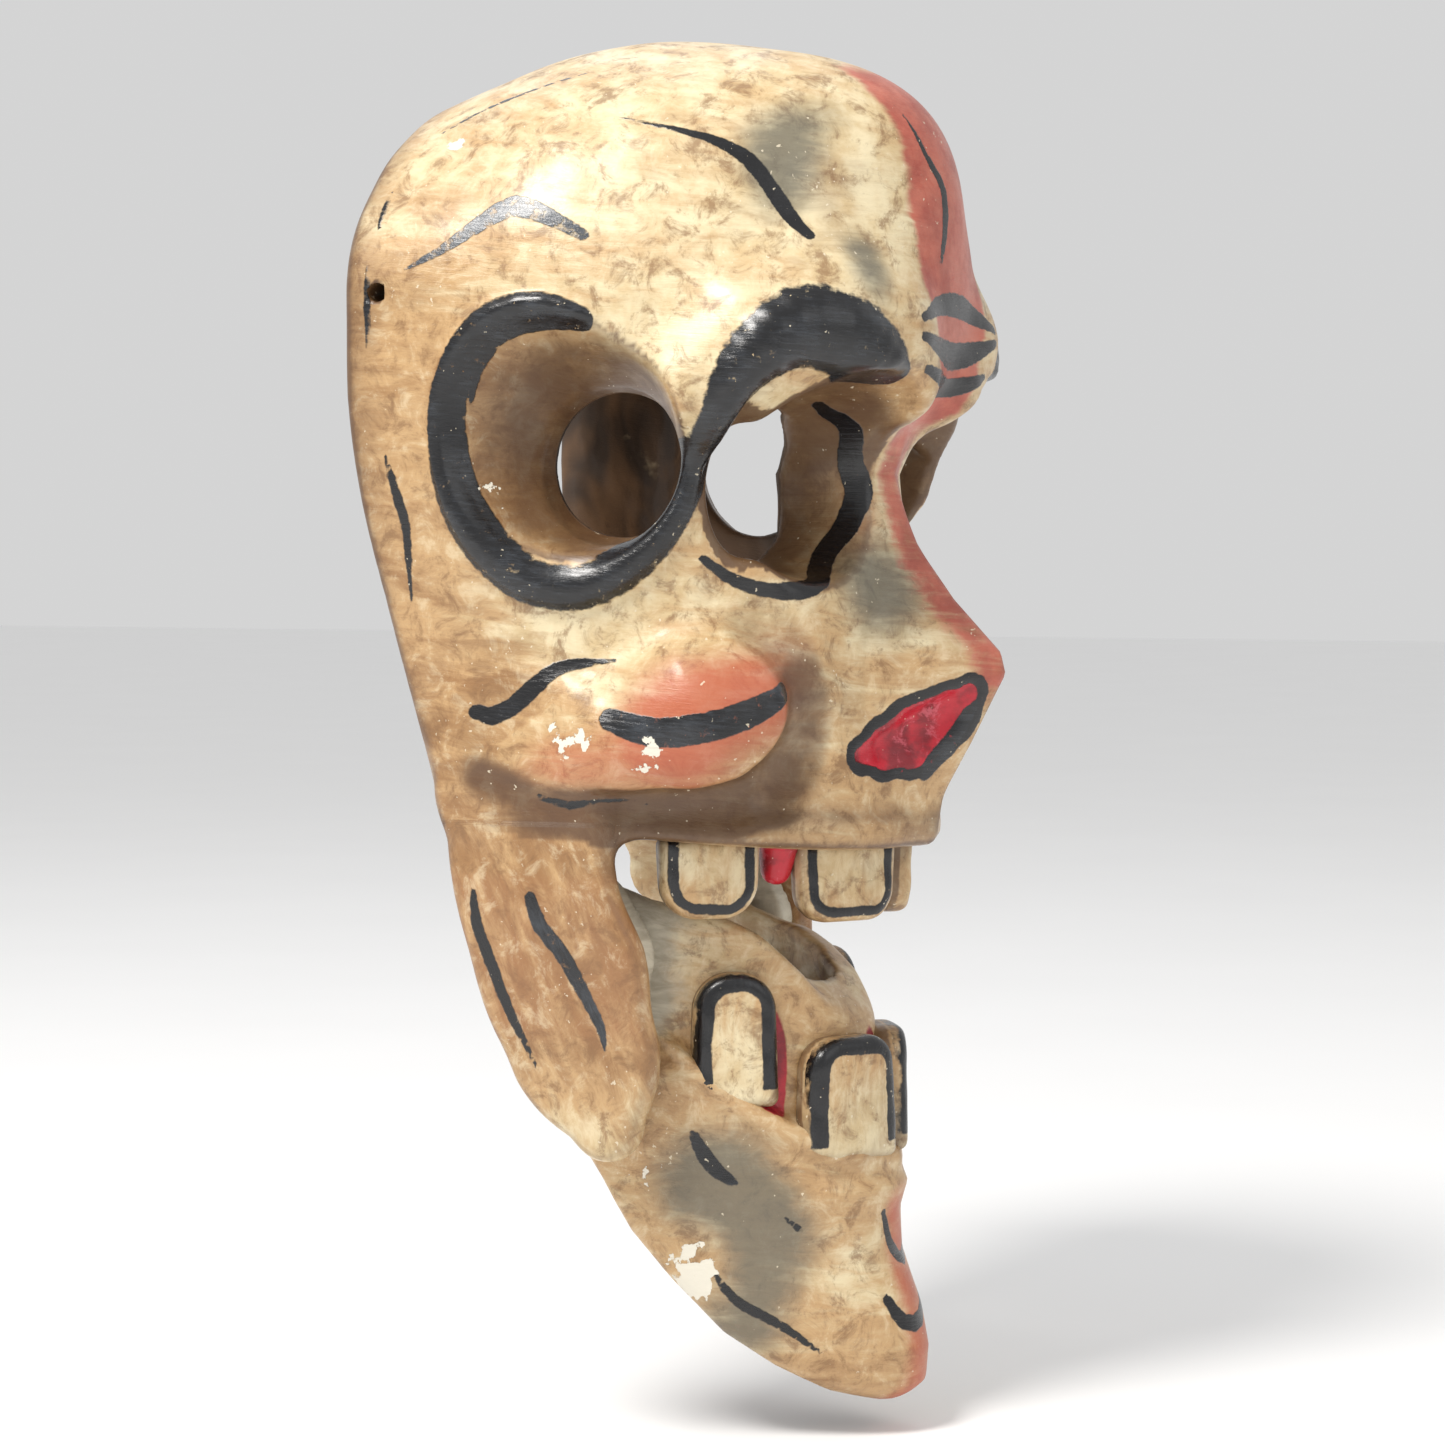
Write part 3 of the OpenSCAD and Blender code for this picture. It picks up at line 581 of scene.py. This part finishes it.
def skull_marks(v):
    n = gradient(skull, v)
    n /= np.maximum(np.linalg.norm(n, axis=1, keepdims=True), 1e-9)
    r = sides(v)
    down = CROWN_UP - v[:, 2]
    x, y, z = v.T
    inside = np.clip(0.5 - (hollow(x, y, z) - 2.2) / 2.4, 0, 1) * (down < 195)
    paint = Paint(v)
    for rows, worn in SKULL_STROKES:
        shift = rng.normal(0, 1, 2) * [1.0, 1.2]
        paint.stroke(rows, worn, skull)
        paint.stroke([(a + shift[0], d + shift[1], w) for a, d, w in rows], worn, skull, mirror=True)
    for rows, worn in MIDDLE_STROKES:
        paint.stroke(rows, worn, face)
    for mirror in (False, True):
        paint.stroke(EYE_STROKE, 0.15, skull, mirror)
        paint.stroke_3d(band_mid[-1 if mirror else 1], band[:, 2] + 0.4, 0.3)
        paint.stroke(BROW_HOOK, 0.05, face, mirror)
        paint.stroke([(85.7, 75, 0.9), (89.2, 80.4, 1.0), (90.9, 86, 0.7)], 0.2, skull, mirror)
    eye, temple = sockets(x, y, z)
    # the band's paint stops at the edge of the holes
    on_band = band_relief(x, y, z) < 0.9
    cut = np.maximum(-temple - 0.6, -eye - 3.5)
    paint.ink = np.where(on_band, np.maximum(paint.ink, cut), paint.ink)
    # nostrils: red inside a black edge
    nose_d = bars(*r.T, nostril_at, nostril_r + 1.2)
    nose_d = np.where(np.abs(x) < 0.4, 9, nose_d)
    edge = np.abs(nose_d - 0.2) - 1.45
    closer = edge < paint.ink
    paint.ink = np.where(closer, edge, paint.ink)
    paint.worn = np.where(closer, 0.1, paint.worn)
    red = -nose_d
    gum = 3.2 - np.linalg.norm((r - [-25.2, -86.5, up(188)]) / [1.25, 1.25, 1.6], axis=1)
    red = np.maximum(red, np.where(down > lip(y) - 1, gum + 3.4, -9))
    # red stripe from the crown to the nose tip
    half = table(down, [(0, 15), (30, 19), (60, 20), (78, 14), (95, 8), (110, 5), (130, 6.5), (148, 8), (160, 5)])
    stripe = ease((half + 3.5 - np.abs(x + 1.5 * wobble(x, y, z, 18, 4))) / 6.5)
    stripe = stripe * (y < -70) * ease((down - 4) / 10) * (1 - ease((down - 149) / 12)) * (1 - inside)
    stripe = stripe * np.where(down > 88, 0.72, 1.0)
    flap = (plate(x, y, z) < 1.5) * ease((down - 186) / 8) * (1 - ease((down - 226) / 16))
    pink = 1.1 * blob(r, at(face, 52, 156), 28, (1, 1, 0.8)) + 0.28 * flap + 0.8 * blob(r, at(face, 36, 148), 24)
    pink += 0.6 * blob(r, at(face, 70, 167), 30, (1, 1, 0.5)) + 0.5 * blob(r, (-18, -104, up(110)), 22)
    pink += 0.35 * blob(r, at(face, 50, 175), 22) + 0.35 * blob(r, (-70, -45, up(80)), 16)
    tan = 0.55 * ease((down - 128) / 50) + 0.75 * ease((y + 48) / 40) * ease((down - 30) / 50)
    tan += 0.7 * (np.clip(1 - np.maximum(temple, 0) / 3, 0, 1))
    tan += 0.6 * np.clip(1 - np.maximum(eye, 0) / 3, 0, 1)
    tan += 0.55 * (plate(x, y, z) < 1.5) * (1 - ease((down - 232) / 22))
    tan -= 0.5 * blob(r, at(face, 62, 60), 34) + 0.5 * blob(r, at(face, 30, 30), 40)
    tan -= 0.35 * blob(r, at(face, 18, 125), 26)
    pale = blob(r, at(face, 30, 42), 38) * 0.9 + blob(r, at(face, 60, 75), 26) * 0.8
    pale += blob(r, at(face, 66, 138), 26) * 0.6
    pale += 0.9 * (plate(x, y, z) < 1.5) * ease((down - 226) / 26) + 0.4 * blob(r, at(face, 60, 25), 30)
    smudge = blob(r, at(face, 34, 33), 17, (1, 1, 1.7)) + 0.9 * blob(r, at(face, 25, 56), 13, (1, 1, 1.6))
    smudge += 0.95 * blob(r, at(face, 11, 128), 25) + 0.5 * blob(r, at(face, 24, 22), 16)
    smudge += 0.3 * blob(r, at(face, 90, 130), 22)
    chip = 0.95 * blob(r, at(face, 100, 28), 9) + 0.9 * blob(r, at(skull, 72, 161), 13, (1, 1, 0.7))
    chip += 0.8 * blob(r, at(skull, 58, 164), 11) + 0.8 * blob(r, (-64, -33, up(106)), 8)
    chip += 0.7 * blob(r, at(skull, 74, 108), 6)
    chip += 0.5 * blob(r, at(skull, 44, 181), 9) + 0.55 * blob(r, at(face, 52, 130), 8)
    chip += 0.5 * blob(r, (-25, -90, up(116)), 8)
    # painted shade mixed with grime: the paint is darkened in creases and recesses, in the crease round the
    # cheekbone, down the temple and eye holes and under the upper lip, and it gets darker towards the back rim
    grime_and_shade = recess(skull, v, n, 5.0) * 0.7 + recess(skull, v, n, 12.0) * 0.7
    crease = bars(*r.T, groove_at, 0 * groove_r)
    grime_and_shade += 0.75 * ease(1 - crease / 11) * ease((down - 128) / 25)
    tube = ease((80 - np.abs(x)) / 26) * (temple < 1.5) + ease((y + 116) / 32) * (eye < 1.5)
    tube += 0.8 * (eye < 2.5) * ease((103 - down) / 8) * ease((y + 118) / 10)
    grime_and_shade += 0.75 * np.clip(tube, 0, 1) + 0.35 * ease((down - 176) / 6) * (down < lip(y) + 1)
    grime_and_shade += 0.5 * ease((y + 22) / 22)
    # the dark part of each nostril, toward the nose tip
    for mirror in (False, True):
        paint.stroke([(2.0, 155, 1.6), (2.8, 163, 2.6), (5.0, 170.5, 2.2)], 0.4, skull, mirror)
    plates = (plate(x, y, z) < 1.0) & (down > 181)
    return finish_marks(v, paint, red, stripe, pink, tan, pale, smudge, chip, grime_and_shade, inside, plates)


def finish_marks(v, paint, red, stripe, pink, tan, pale, smudge, chip, grime_and_shade, inside, upright):
    """Gathers the paint layers, and the direction that the brush went."""
    angle = np.degrees(np.arctan2(-v[:, 0], -(v[:, 1] + 30)))
    down = CROWN_UP - v[:, 2]
    along, across = angle * 1.15, down + 0.10 * np.abs(angle)
    along = np.where(upright, down - 0.4 * np.abs(angle), along)
    across = np.where(upright, angle * 1.1 + 0.4 * down, across)
    return {
        "ink": np.clip(paint.ink, -8, 12), "worn": paint.worn, "red": np.clip(red, -9, 9),
        "stripe": stripe, "pink": np.clip(pink, 0, 1), "tan": np.clip(tan, 0, 1), "pale": np.clip(pale, 0, 1),
        "smudge": np.clip(smudge, 0, 1), "chip": np.clip(chip, 0, 1), "grime_and_shade": np.clip(grime_and_shade, 0, 1),
        "inside": np.clip(inside, 0, 1), "brush": np.stack([along, across, 0 * along], 1) * 0.1,
    }


def jaw_marks(v):
    n = gradient(jaw, v)
    n /= np.maximum(np.linalg.norm(n, axis=1, keepdims=True), 1e-9)
    r = sides(v)
    x, y, z = v.T
    down = CROWN_UP - z
    outer = jaw_skin(x, y, z)
    inside = ease((-outer - 3.5) / 3) * ease((down - 222) / 12)
    paint = Paint(v)
    for rows, worn in JAW_STROKES:
        paint.stroke(rows, worn, jaw)
        paint.stroke([(a + 1.5, d + 1.0, w) for a, d, w in rows], worn, jaw, mirror=True)
    for rows, worn in CHIN_STROKES:
        paint.stroke(rows, worn, jaw)
    # bright red shows between the teeth
    red = np.full(len(v), -9.0)
    for u, d in ((0.0, 248.0), (25.5, 240.0)):
        p = root(jaw_skin, [u], [d])[0]
        red = np.maximum(red, 5.4 - np.linalg.norm((r - p) / [1, 1, 3.1], axis=1))
    raw = ease((-outer - 0.8) / 2.5) * ease((238 - down) / 14) + blob(r, at(jaw_skin, 50, 222), 20, (1, 1, 0.9))
    raw = np.maximum(raw, ease((232 - down) / 22) * ease((np.abs(x) - 24) / 14))
    raw = raw * (1 - 0.85 * ease((x + 40) / 14) * ease(-outer / 3 + 1.2))
    pink = 0.8 * ease((11 - np.abs(x)) / 9) * (y < -90) * ease((down - 262) / 12)
    pink += 0.2 * blob(r, at(jaw, 10, 311), 18)
    tan = 0.35 + 0.3 * wobble(x, y, z, 20, 8) + 0.4 * ease((down - 300) / 15)
    pale = 0.8 * raw + 0.7 * blob(r, at(jaw, 12, 285), 16)
    pale += 0.6 * ease((4 - np.abs(down - 252 + 0.3 * np.abs(x))) / 4)
    smudge = 1.1 * blob(r, at(jaw, 37, 264), 27, (1, 1, 0.9)) + 0.9 * blob(r, at(jaw, 30, 296), 22)
    smudge += 0.8 * blob(r, at(jaw, 24, 278), 20)
    chip = 1.5 * blob(r, at(jaw, 41.7, 286), 11, (1, 1, 1.3)) + 0.6 * blob(r, at(jaw, 52, 262), 12)
    chip += 0.6 * blob(r, at(jaw, 36, 300), 10)
    # painted shade mixed with grime: darker in recesses and deep inside the mouth
    grime_and_shade = recess(jaw, v, n, 5.0) * 0.7 + 0.3 * inside + 0.7 * ease((-outer - 4) / 8) * ease((down - 206) / 16)
    marks = finish_marks(v, paint, red, 0 * x, pink, tan, pale, smudge, chip, grime_and_shade, inside, down < 0)
    marks["raw"] = np.clip(raw, 0, 1)
    return marks


def tooth_marks(v, spec, seed):
    u, out, w = tooth_frame(*v.T, spec)
    d = tooth_outline(u, w, spec)
    upper = spec[6]
    s = -w if upper else w
    side = tooth_outline(u, np.where(s > 0, w, 0 * w), spec)
    side = np.where(s > 0, d, side)
    line = np.abs(side + (2.6 if upper else 2.0) + 0.4 * wobble(u, out, w, 5, seed)) - (1.2 if upper else 2.0)
    line = np.maximum(line, -s - spec[3] * (0.5 if upper else 0.36))
    line = np.where(out > 0.5, line, 9)
    red = np.full(len(v), -9.0)
    # painted shade with some grime: the teeth darken towards their sides, their back faces and their roots
    grime_and_shade = np.clip(0.35 + d / 9 + 0.3 * (out < 0), 0, 1) + 0.25 * ease(-s / 8)
    return {
        "ink": np.clip(line, -8, 12), "worn": np.full(len(v), 0.15), "red": red, "stripe": 0 * u, "pink": 0 * u,
        "tan": np.clip(0.35 + 0.25 * wobble(u, out, w, 9, seed + 3), 0, 1),
        "pale": np.clip(0.6 - 0.05 * s, 0, 1),
        "smudge": np.clip(0.25 * wobble(u, out, w, 12, seed + 5), 0, 1),
        "chip": 0 * u + 0.12, "grime_and_shade": np.clip(grime_and_shade, 0, 1),
        "inside": 0 * u, "brush": np.stack([w, u, out], 1) * 0.1,
    }


# ---------------------------------------------------------------- materials
def colour(r, g, b):
    lin = [(c / 255 / 12.92 if c / 255 <= 0.04045 else ((c / 255 + 0.055) / 1.055) ** 2.4) for c in (r, g, b)]
    return (*lin, 1.0)


class Nodes:
    """Short ways to wire a material."""

    def __init__(self, name):
        self.m = bpy.data.materials.new(name)
        self.m.use_nodes = True
        self.t = self.m.node_tree
        self.bsdf = self.t.nodes["Principled BSDF"]
        self.coord = self.t.nodes.new("ShaderNodeTexCoord")

    def node(self, kind, **given):
        n = self.t.nodes.new(kind)
        for k, v in given.items():
            setattr(n, k, v)
        return n

    def put(self, socket, value):
        if isinstance(value, bpy.types.NodeSocket):
            self.t.links.new(value, socket)
        else:
            socket.default_value = value

    def attr(self, name, vector=False):
        n = self.node("ShaderNodeAttribute", attribute_name=name)
        return n.outputs["Vector"] if vector else n.outputs["Fac"]

    def math(self, op, a, b=0.0, clamp=False):
        n = self.node("ShaderNodeMath", operation=op, use_clamp=clamp)
        self.put(n.inputs[0], a)
        self.put(n.inputs[1], b)
        return n.outputs[0]

    def span(self, v, lo, hi, out0=0.0, out1=1.0):
        n = self.node("ShaderNodeMapRange", interpolation_type="SMOOTHSTEP")
        for i, value in enumerate((v, lo, hi, out0, out1)):
            self.put(n.inputs[i], value)
        return n.outputs[0]

    def noise(self, scale, detail=4.0, rough=0.55, vector=None, stretch=None, distortion=0.0):
        source = vector or self.coord.outputs["Object"]
        if stretch:
            n = self.node("ShaderNodeMapping")
            self.put(n.inputs["Vector"], source)
            n.inputs["Scale"].default_value = stretch
            source = n.outputs[0]
        n = self.node("ShaderNodeTexNoise")
        self.put(n.inputs["Vector"], source)
        for key, value in (("Scale", scale), ("Detail", detail), ("Roughness", rough), ("Distortion", distortion)):
            n.inputs[key].default_value = value
        return n.outputs["Fac"]

    def mix(self, fac, a, b, mode="MIX"):
        n = self.node("ShaderNodeMix", data_type="RGBA", blend_type=mode)
        self.put(n.inputs["Factor"], fac)
        self.put(n.inputs["A"], a)
        self.put(n.inputs["B"], b)
        return n.outputs["Result"]

    def bump(self, height, strength, distance, normal=None):
        n = self.node("ShaderNodeBump")
        n.inputs["Strength"].default_value = strength
        n.inputs["Distance"].default_value = distance
        self.put(n.inputs["Height"], height)
        if normal is not None:
            self.put(n.inputs["Normal"], normal)
        return n.outputs["Normal"]


def painted_wood(name, raw_wood=False):
    s = Nodes(name)
    brush = s.attr("brush", True)
    ink, worn = s.attr("ink"), s.attr("worn")
    broad = s.noise(28, 3, 0.6)
    mottle = s.noise(95, 4, 0.62)
    fine = s.noise(420, 3, 0.6)
    streak = s.noise(1.0, 5, 0.62, brush, (0.62, 2.6, 3.0), 1.1)
    streak_fine = s.noise(1.0, 4, 0.65, brush, (2.4, 13.0, 8.0), 0.9)
    wash = s.noise(1.0, 4, 0.6, brush, (0.34, 0.8, 1.0), 1.6)

    # cream ground, tan glaze that the brush dragged through it, brown grime and blotches in patches
    cream = s.mix(s.span(mottle, 0.34, 0.66), colour(224, 209, 172), colour(204, 180, 136))
    glaze = s.math("ADD", s.math("MULTIPLY", streak, 0.55), s.math("MULTIPLY", wash, 0.70))
    glaze = s.math("ADD", glaze, s.math("MULTIPLY", s.attr("tan"), 0.40))
    glaze = s.math("SUBTRACT", glaze, s.math("MULTIPLY", s.attr("pale"), 0.26))
    base = s.mix(s.span(glaze, 0.48, 0.82), cream, colour(190, 154, 108))
    base = s.mix(s.span(glaze, 0.80, 1.14), base, colour(152, 112, 70))
    blotch = s.noise(150, 7, 0.74, None, None, 0.5)
    base = s.mix(s.span(blotch, 0.49, 0.66, 0.0, 0.75), base, colour(128, 92, 56))
    base = s.mix(s.span(blotch, 0.49, 0.34, 0.0, 0.42), base, colour(230, 214, 178))
    grime = s.math("ADD", s.math("MULTIPLY", broad, 0.8), s.math("MULTIPLY", streak, 0.3))
    base = s.mix(s.span(grime, 0.56, 0.78, 0.0, 0.5), base, colour(120, 88, 56))

    # thin washes of colour
    def wash_over(base, mask, tint, amount, low=0.25, high=0.85):
        m = s.math("MULTIPLY", mask, s.math("ADD", 0.45, s.math("MULTIPLY", s.math("ADD", streak, mottle), 0.6)))
        return s.mix(s.span(m, low, high, 0.0, amount), base, tint)

    base = wash_over(base, s.attr("smudge"), colour(98, 96, 84), 0.84, 0.20, 0.95)
    base = wash_over(base, s.attr("pink"), colour(180, 80, 52), 0.82, 0.18, 0.95)
    stripe = s.math("ADD", s.math("MULTIPLY", s.attr("stripe"), 1.15),
                    s.math("MULTIPLY", s.math("SUBTRACT", streak, 0.5), 0.9))
    red_thin = s.mix(s.span(mottle, 0.35, 0.65), colour(188, 84, 66), colour(160, 58, 50))
    stripe = s.math("ADD", stripe, s.math("MULTIPLY", s.math("SUBTRACT", blotch, 0.5), -1.1))
    base = s.mix(s.span(stripe, 0.22, 0.95, 0.0, 0.88), base, red_thin)
    # painted shade with grime: the paint turns dark brown where the vertex mask marks hollows, creases and the
    # insides of the holes and mouth
    grime_and_shade = s.math("MULTIPLY", s.attr("grime_and_shade"), s.math("ADD", 0.55, s.math("MULTIPLY", mottle, 0.9)))
    base = s.mix(s.span(grime_and_shade, 0.20, 0.80, 0.0, 0.86), base, colour(84, 56, 34))

    # bright red in the nostrils and between the teeth
    soft = s.math("MULTIPLY", s.math("SUBTRACT", mottle, 0.5), 2.0)
    red = s.span(s.math("ADD", s.attr("red"), soft), -0.3, 0.3)
    bright = s.mix(s.span(mottle, 0.4, 0.6), colour(190, 20, 42), colour(128, 12, 28))
    bright = s.mix(s.span(blotch, 0.46, 0.38, 0.0, 0.6), bright, colour(214, 96, 110))
    base = s.mix(red, base, bright)

    # black strokes with a wavering edge, rubbed thin where they are worn
    edge = s.math("ADD", ink, s.math("MULTIPLY", s.math("SUBTRACT", fine, 0.5), 0.9))
    edge = s.math("ADD", edge, s.math("MULTIPLY", s.math("SUBTRACT", streak_fine, 0.5), 0.4))
    black = s.span(edge, 0.18, -0.22)
    rub = s.math("ADD", s.math("MULTIPLY", worn, 0.52),
                 s.math("MULTIPLY", s.math("ADD", streak_fine, mottle), 0.42))
    ink_colour = s.mix(s.span(rub, 0.52, 0.92), colour(13, 13, 16), colour(72, 78, 86))
    thin = s.span(s.math("ADD", s.math("MULTIPLY", worn, 0.35), fine), 0.74, 0.92, 1.0, 0.35)
    specks = s.span(s.noise(760, 2, 0.5), 0.74, 0.77, 1.0, 0.25)
    black = s.math("MULTIPLY", s.math("MULTIPLY", black, thin), specks)
    base = s.mix(black, base, ink_colour)

    # chips down to the white ground
    flake = s.math("ADD", s.math("MULTIPLY", s.attr("chip"), 0.46), s.noise(240, 4, 0.55))
    chip = s.span(flake, 0.86, 0.885)
    base = s.mix(chip, base, colour(228, 222, 206))
    scuff = s.span(s.math("ADD", s.noise(640, 2, 0.6), s.math("MULTIPLY", broad, 0.25)), 0.84, 0.88, 0.0, 0.7)
    base = s.mix(scuff, base, colour(226, 214, 188))

    rough = s.span(mottle, 0.3, 0.7, 0.36, 0.52)
    rough = s.math("ADD", s.math("MULTIPLY", rough, s.math("SUBTRACT", 1.0, black)),
                   s.math("MULTIPLY", black, 0.27))
    if raw_wood:
        patchy = s.math("MULTIPLY", s.math("SUBTRACT", mottle, 0.5), 0.8)
        raw = s.span(s.math("ADD", s.attr("raw"), patchy), 0.35, 0.75)
        chalk = s.mix(s.span(streak, 0.3, 0.7), colour(206, 198, 178), colour(168, 158, 138))
        chalk = s.mix(s.span(s.noise(60, 4, 0.7), 0.52, 0.72, 0, 0.6), chalk, colour(112, 92, 70))
        raw = s.math("MULTIPLY", raw, s.math("SUBTRACT", 1.0, s.math("MAXIMUM", red, black)))
        base = s.mix(raw, base, chalk)
        rough = s.math("ADD", rough, s.math("MULTIPLY", raw, 0.35))

    # the hollow back: dark gouged wood with smears of the white ground
    gouge = s.noise(1.0, 2, 0.5, s.coord.outputs["Object"], (150, 60, 45), 0.4)
    wood = s.mix(s.span(gouge, 0.35, 0.7), colour(52, 36, 22), colour(104, 74, 46))
    wood = s.mix(s.span(s.noise(70, 4, 0.7), 0.62, 0.78, 0, 0.55), wood, colour(168, 148, 116))
    ragged = s.math("MULTIPLY", s.math("SUBTRACT", mottle, 0.5), 0.5)
    inside = s.span(s.math("ADD", s.attr("inside"), ragged), 0.35, 0.65)
    base = s.mix(inside, base, wood)
    rough = s.math("ADD", s.math("MULTIPLY", rough, s.math("SUBTRACT", 1.0, inside)),
                   s.math("MULTIPLY", inside, 0.75))
    s.put(s.bsdf.inputs["Base Color"], base)
    s.put(s.bsdf.inputs["Roughness"], s.math("MINIMUM", rough, 1.0))
    s.bsdf.inputs["Coat Weight"].default_value = 0.22
    s.bsdf.inputs["Coat Roughness"].default_value = 0.18

    h = s.math("ADD", s.math("MULTIPLY", streak_fine, 0.35), s.math("MULTIPLY", streak, 0.45))
    h = s.math("ADD", h, s.math("MULTIPLY", fine, 0.25))
    h = s.math("SUBTRACT", h, s.math("MULTIPLY", chip, 0.8))
    h = s.math("ADD", h, s.math("MULTIPLY", black, 0.35))
    h = s.math("ADD", h, s.math("MULTIPLY", s.math("MULTIPLY", inside, gouge), 3.0))
    n1 = s.bump(h, 0.55, 0.0006)
    s.put(s.bsdf.inputs["Normal"], s.bump(broad, 0.35, 0.0016, n1))
    return s.m


def dowel_material():
    s = Nodes("dowel_paint")
    grain = s.noise(260, 4, 0.6, None, (1, 1, 1), 0.3)
    rings = s.noise(60, 2, 0.5)
    base = s.mix(s.span(grain, 0.3, 0.7), colour(205, 172, 118), colour(160, 118, 72))
    base = s.mix(s.span(rings, 0.45, 0.6, 0, 0.5), base, colour(214, 196, 156))
    s.put(s.bsdf.inputs["Base Color"], base)
    s.put(s.bsdf.inputs["Roughness"], s.span(grain, 0.2, 0.8, 0.42, 0.6))
    s.put(s.bsdf.inputs["Normal"], s.bump(grain, 0.5, 0.0004))
    return s.m


def leather_material():
    s = Nodes("leather_washer")
    pores = s.noise(700, 3, 0.6)
    tone = s.noise(90, 3, 0.5)
    s.put(s.bsdf.inputs["Base Color"], s.mix(s.span(tone, 0.3, 0.7), colour(88, 56, 34), colour(58, 36, 22)))
    s.put(s.bsdf.inputs["Roughness"], s.span(pores, 0.2, 0.8, 0.6, 0.8))
    s.put(s.bsdf.inputs["Normal"], s.bump(pores, 0.6, 0.0003))
    return s.m


def dress_cad(node, material):
    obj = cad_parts[node]
    obj.data.materials.clear()
    obj.data.materials.append(material)


# ---------------------------------------------------------------- pieces
skull_paint = painted_wood("skull_paint")
jaw_paint = painted_wood("jaw_paint", raw_wood=True)
tooth_paint = painted_wood("tooth_paint")

verts, faces = skin(skull, (-82, -139, -240), (82, 4, 25), STEP)
skull_obj = make("skull_shell_carved", verts, faces, skull_paint, skull_marks(verts))
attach(skull_obj, "skull")
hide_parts("skull_shell")

verts, faces = skin(jaw, (-55, -122, -305), (55, -20, -158), STEP)
jaw_obj = make("jaw_carved", verts, faces, jaw_paint, jaw_marks(verts))
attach(jaw_obj, "jaw")
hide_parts("jaw")

for i, (name, spec) in enumerate(TEETH.items()):
    c = np.array(spec[0])
    fn = tooth_shape(spec)
    verts, faces = skin(fn, c - 21, c + 21, STEP * 0.55)
    marks = tooth_marks(verts, spec, i)
    for side, flip in (("right", False), ("left", True)):
        obj = make(f"{name}_{side}_carved", verts, faces, tooth_paint, marks, flip)
        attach(obj, "skull" if spec[6] else "jaw")
        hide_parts(f"{name}_{side}")

dowel, hide = dowel_material(), leather_material()
for side in ("right", "left"):
    dress_cad(f"{side}_pin", dowel)
    dress_cad(f"{side}_washer", hide)

# ---------------------------------------------------------------- stage, light and camera
TARGET = Vector((0, -0.0633, -0.1395))


def toward(azimuth, elevation):
    a, e = math.radians(azimuth), math.radians(elevation)
    return Vector((math.sin(a) * math.cos(e), -math.cos(a) * math.cos(e), math.sin(e)))


def area_light(name, place, size, power, tint=(1, 1, 1)):
    lamp = bpy.data.lights.new(name, "AREA")
    lamp.shape, lamp.size, lamp.energy, lamp.color = "DISK", size, power, tint
    obj = bpy.data.objects.new(name, lamp)
    obj.location = place
    obj.rotation_mode = "QUATERNION"
    obj.rotation_quaternion = (TARGET - Vector(place)).to_track_quat("-Z", "Y")
    bpy.context.scene.collection.objects.link(obj)


def pale_floor():
    s = Nodes("pale_floor")
    grain = s.noise(9, 2, 0.5)
    s.put(s.bsdf.inputs["Base Color"], s.mix(grain, (0.93, 0.93, 0.93, 1), (0.96, 0.96, 0.96, 1)))
    s.bsdf.inputs["Roughness"].default_value = 0.9
    bpy.ops.mesh.primitive_plane_add(size=12, location=(0, 0, -0.305))
    floor = bpy.context.object
    floor.name = "floor"
    floor.data.materials.append(s.m)


pale_floor()
area_light("key", TARGET + toward(-108, 52) * 1.25, 0.40, 14.5, (1.0, 0.97, 0.93))
area_light("front", TARGET + toward(-20, 25) * 1.3, 0.9, 1.6)
area_light("rim", TARGET + toward(120, 50) * 1.4, 0.8, 1.5, (0.93, 0.96, 1.0))

world = bpy.data.worlds.new("studio")
bpy.context.scene.world = world
world.use_nodes = True
world.node_tree.nodes["Background"].inputs["Color"].default_value = (1, 1, 1, 1)
world.node_tree.nodes["Background"].inputs["Strength"].default_value = 0.66

cam = bpy.data.cameras.new("camera")
camera = bpy.data.objects.new("camera", cam)
bpy.context.scene.collection.objects.link(camera)
back = toward(-69, 3)
camera.location = TARGET + back * 0.9
camera.rotation_mode = "QUATERNION"
camera.rotation_quaternion = (-back).to_track_quat("-Z", "Y")
cam.sensor_width = 36
cam.lens = 18 / math.tan(math.radians(21.55 / 2))
bpy.context.scene.camera = camera
bpy.context.scene.view_settings.view_transform = "Standard"
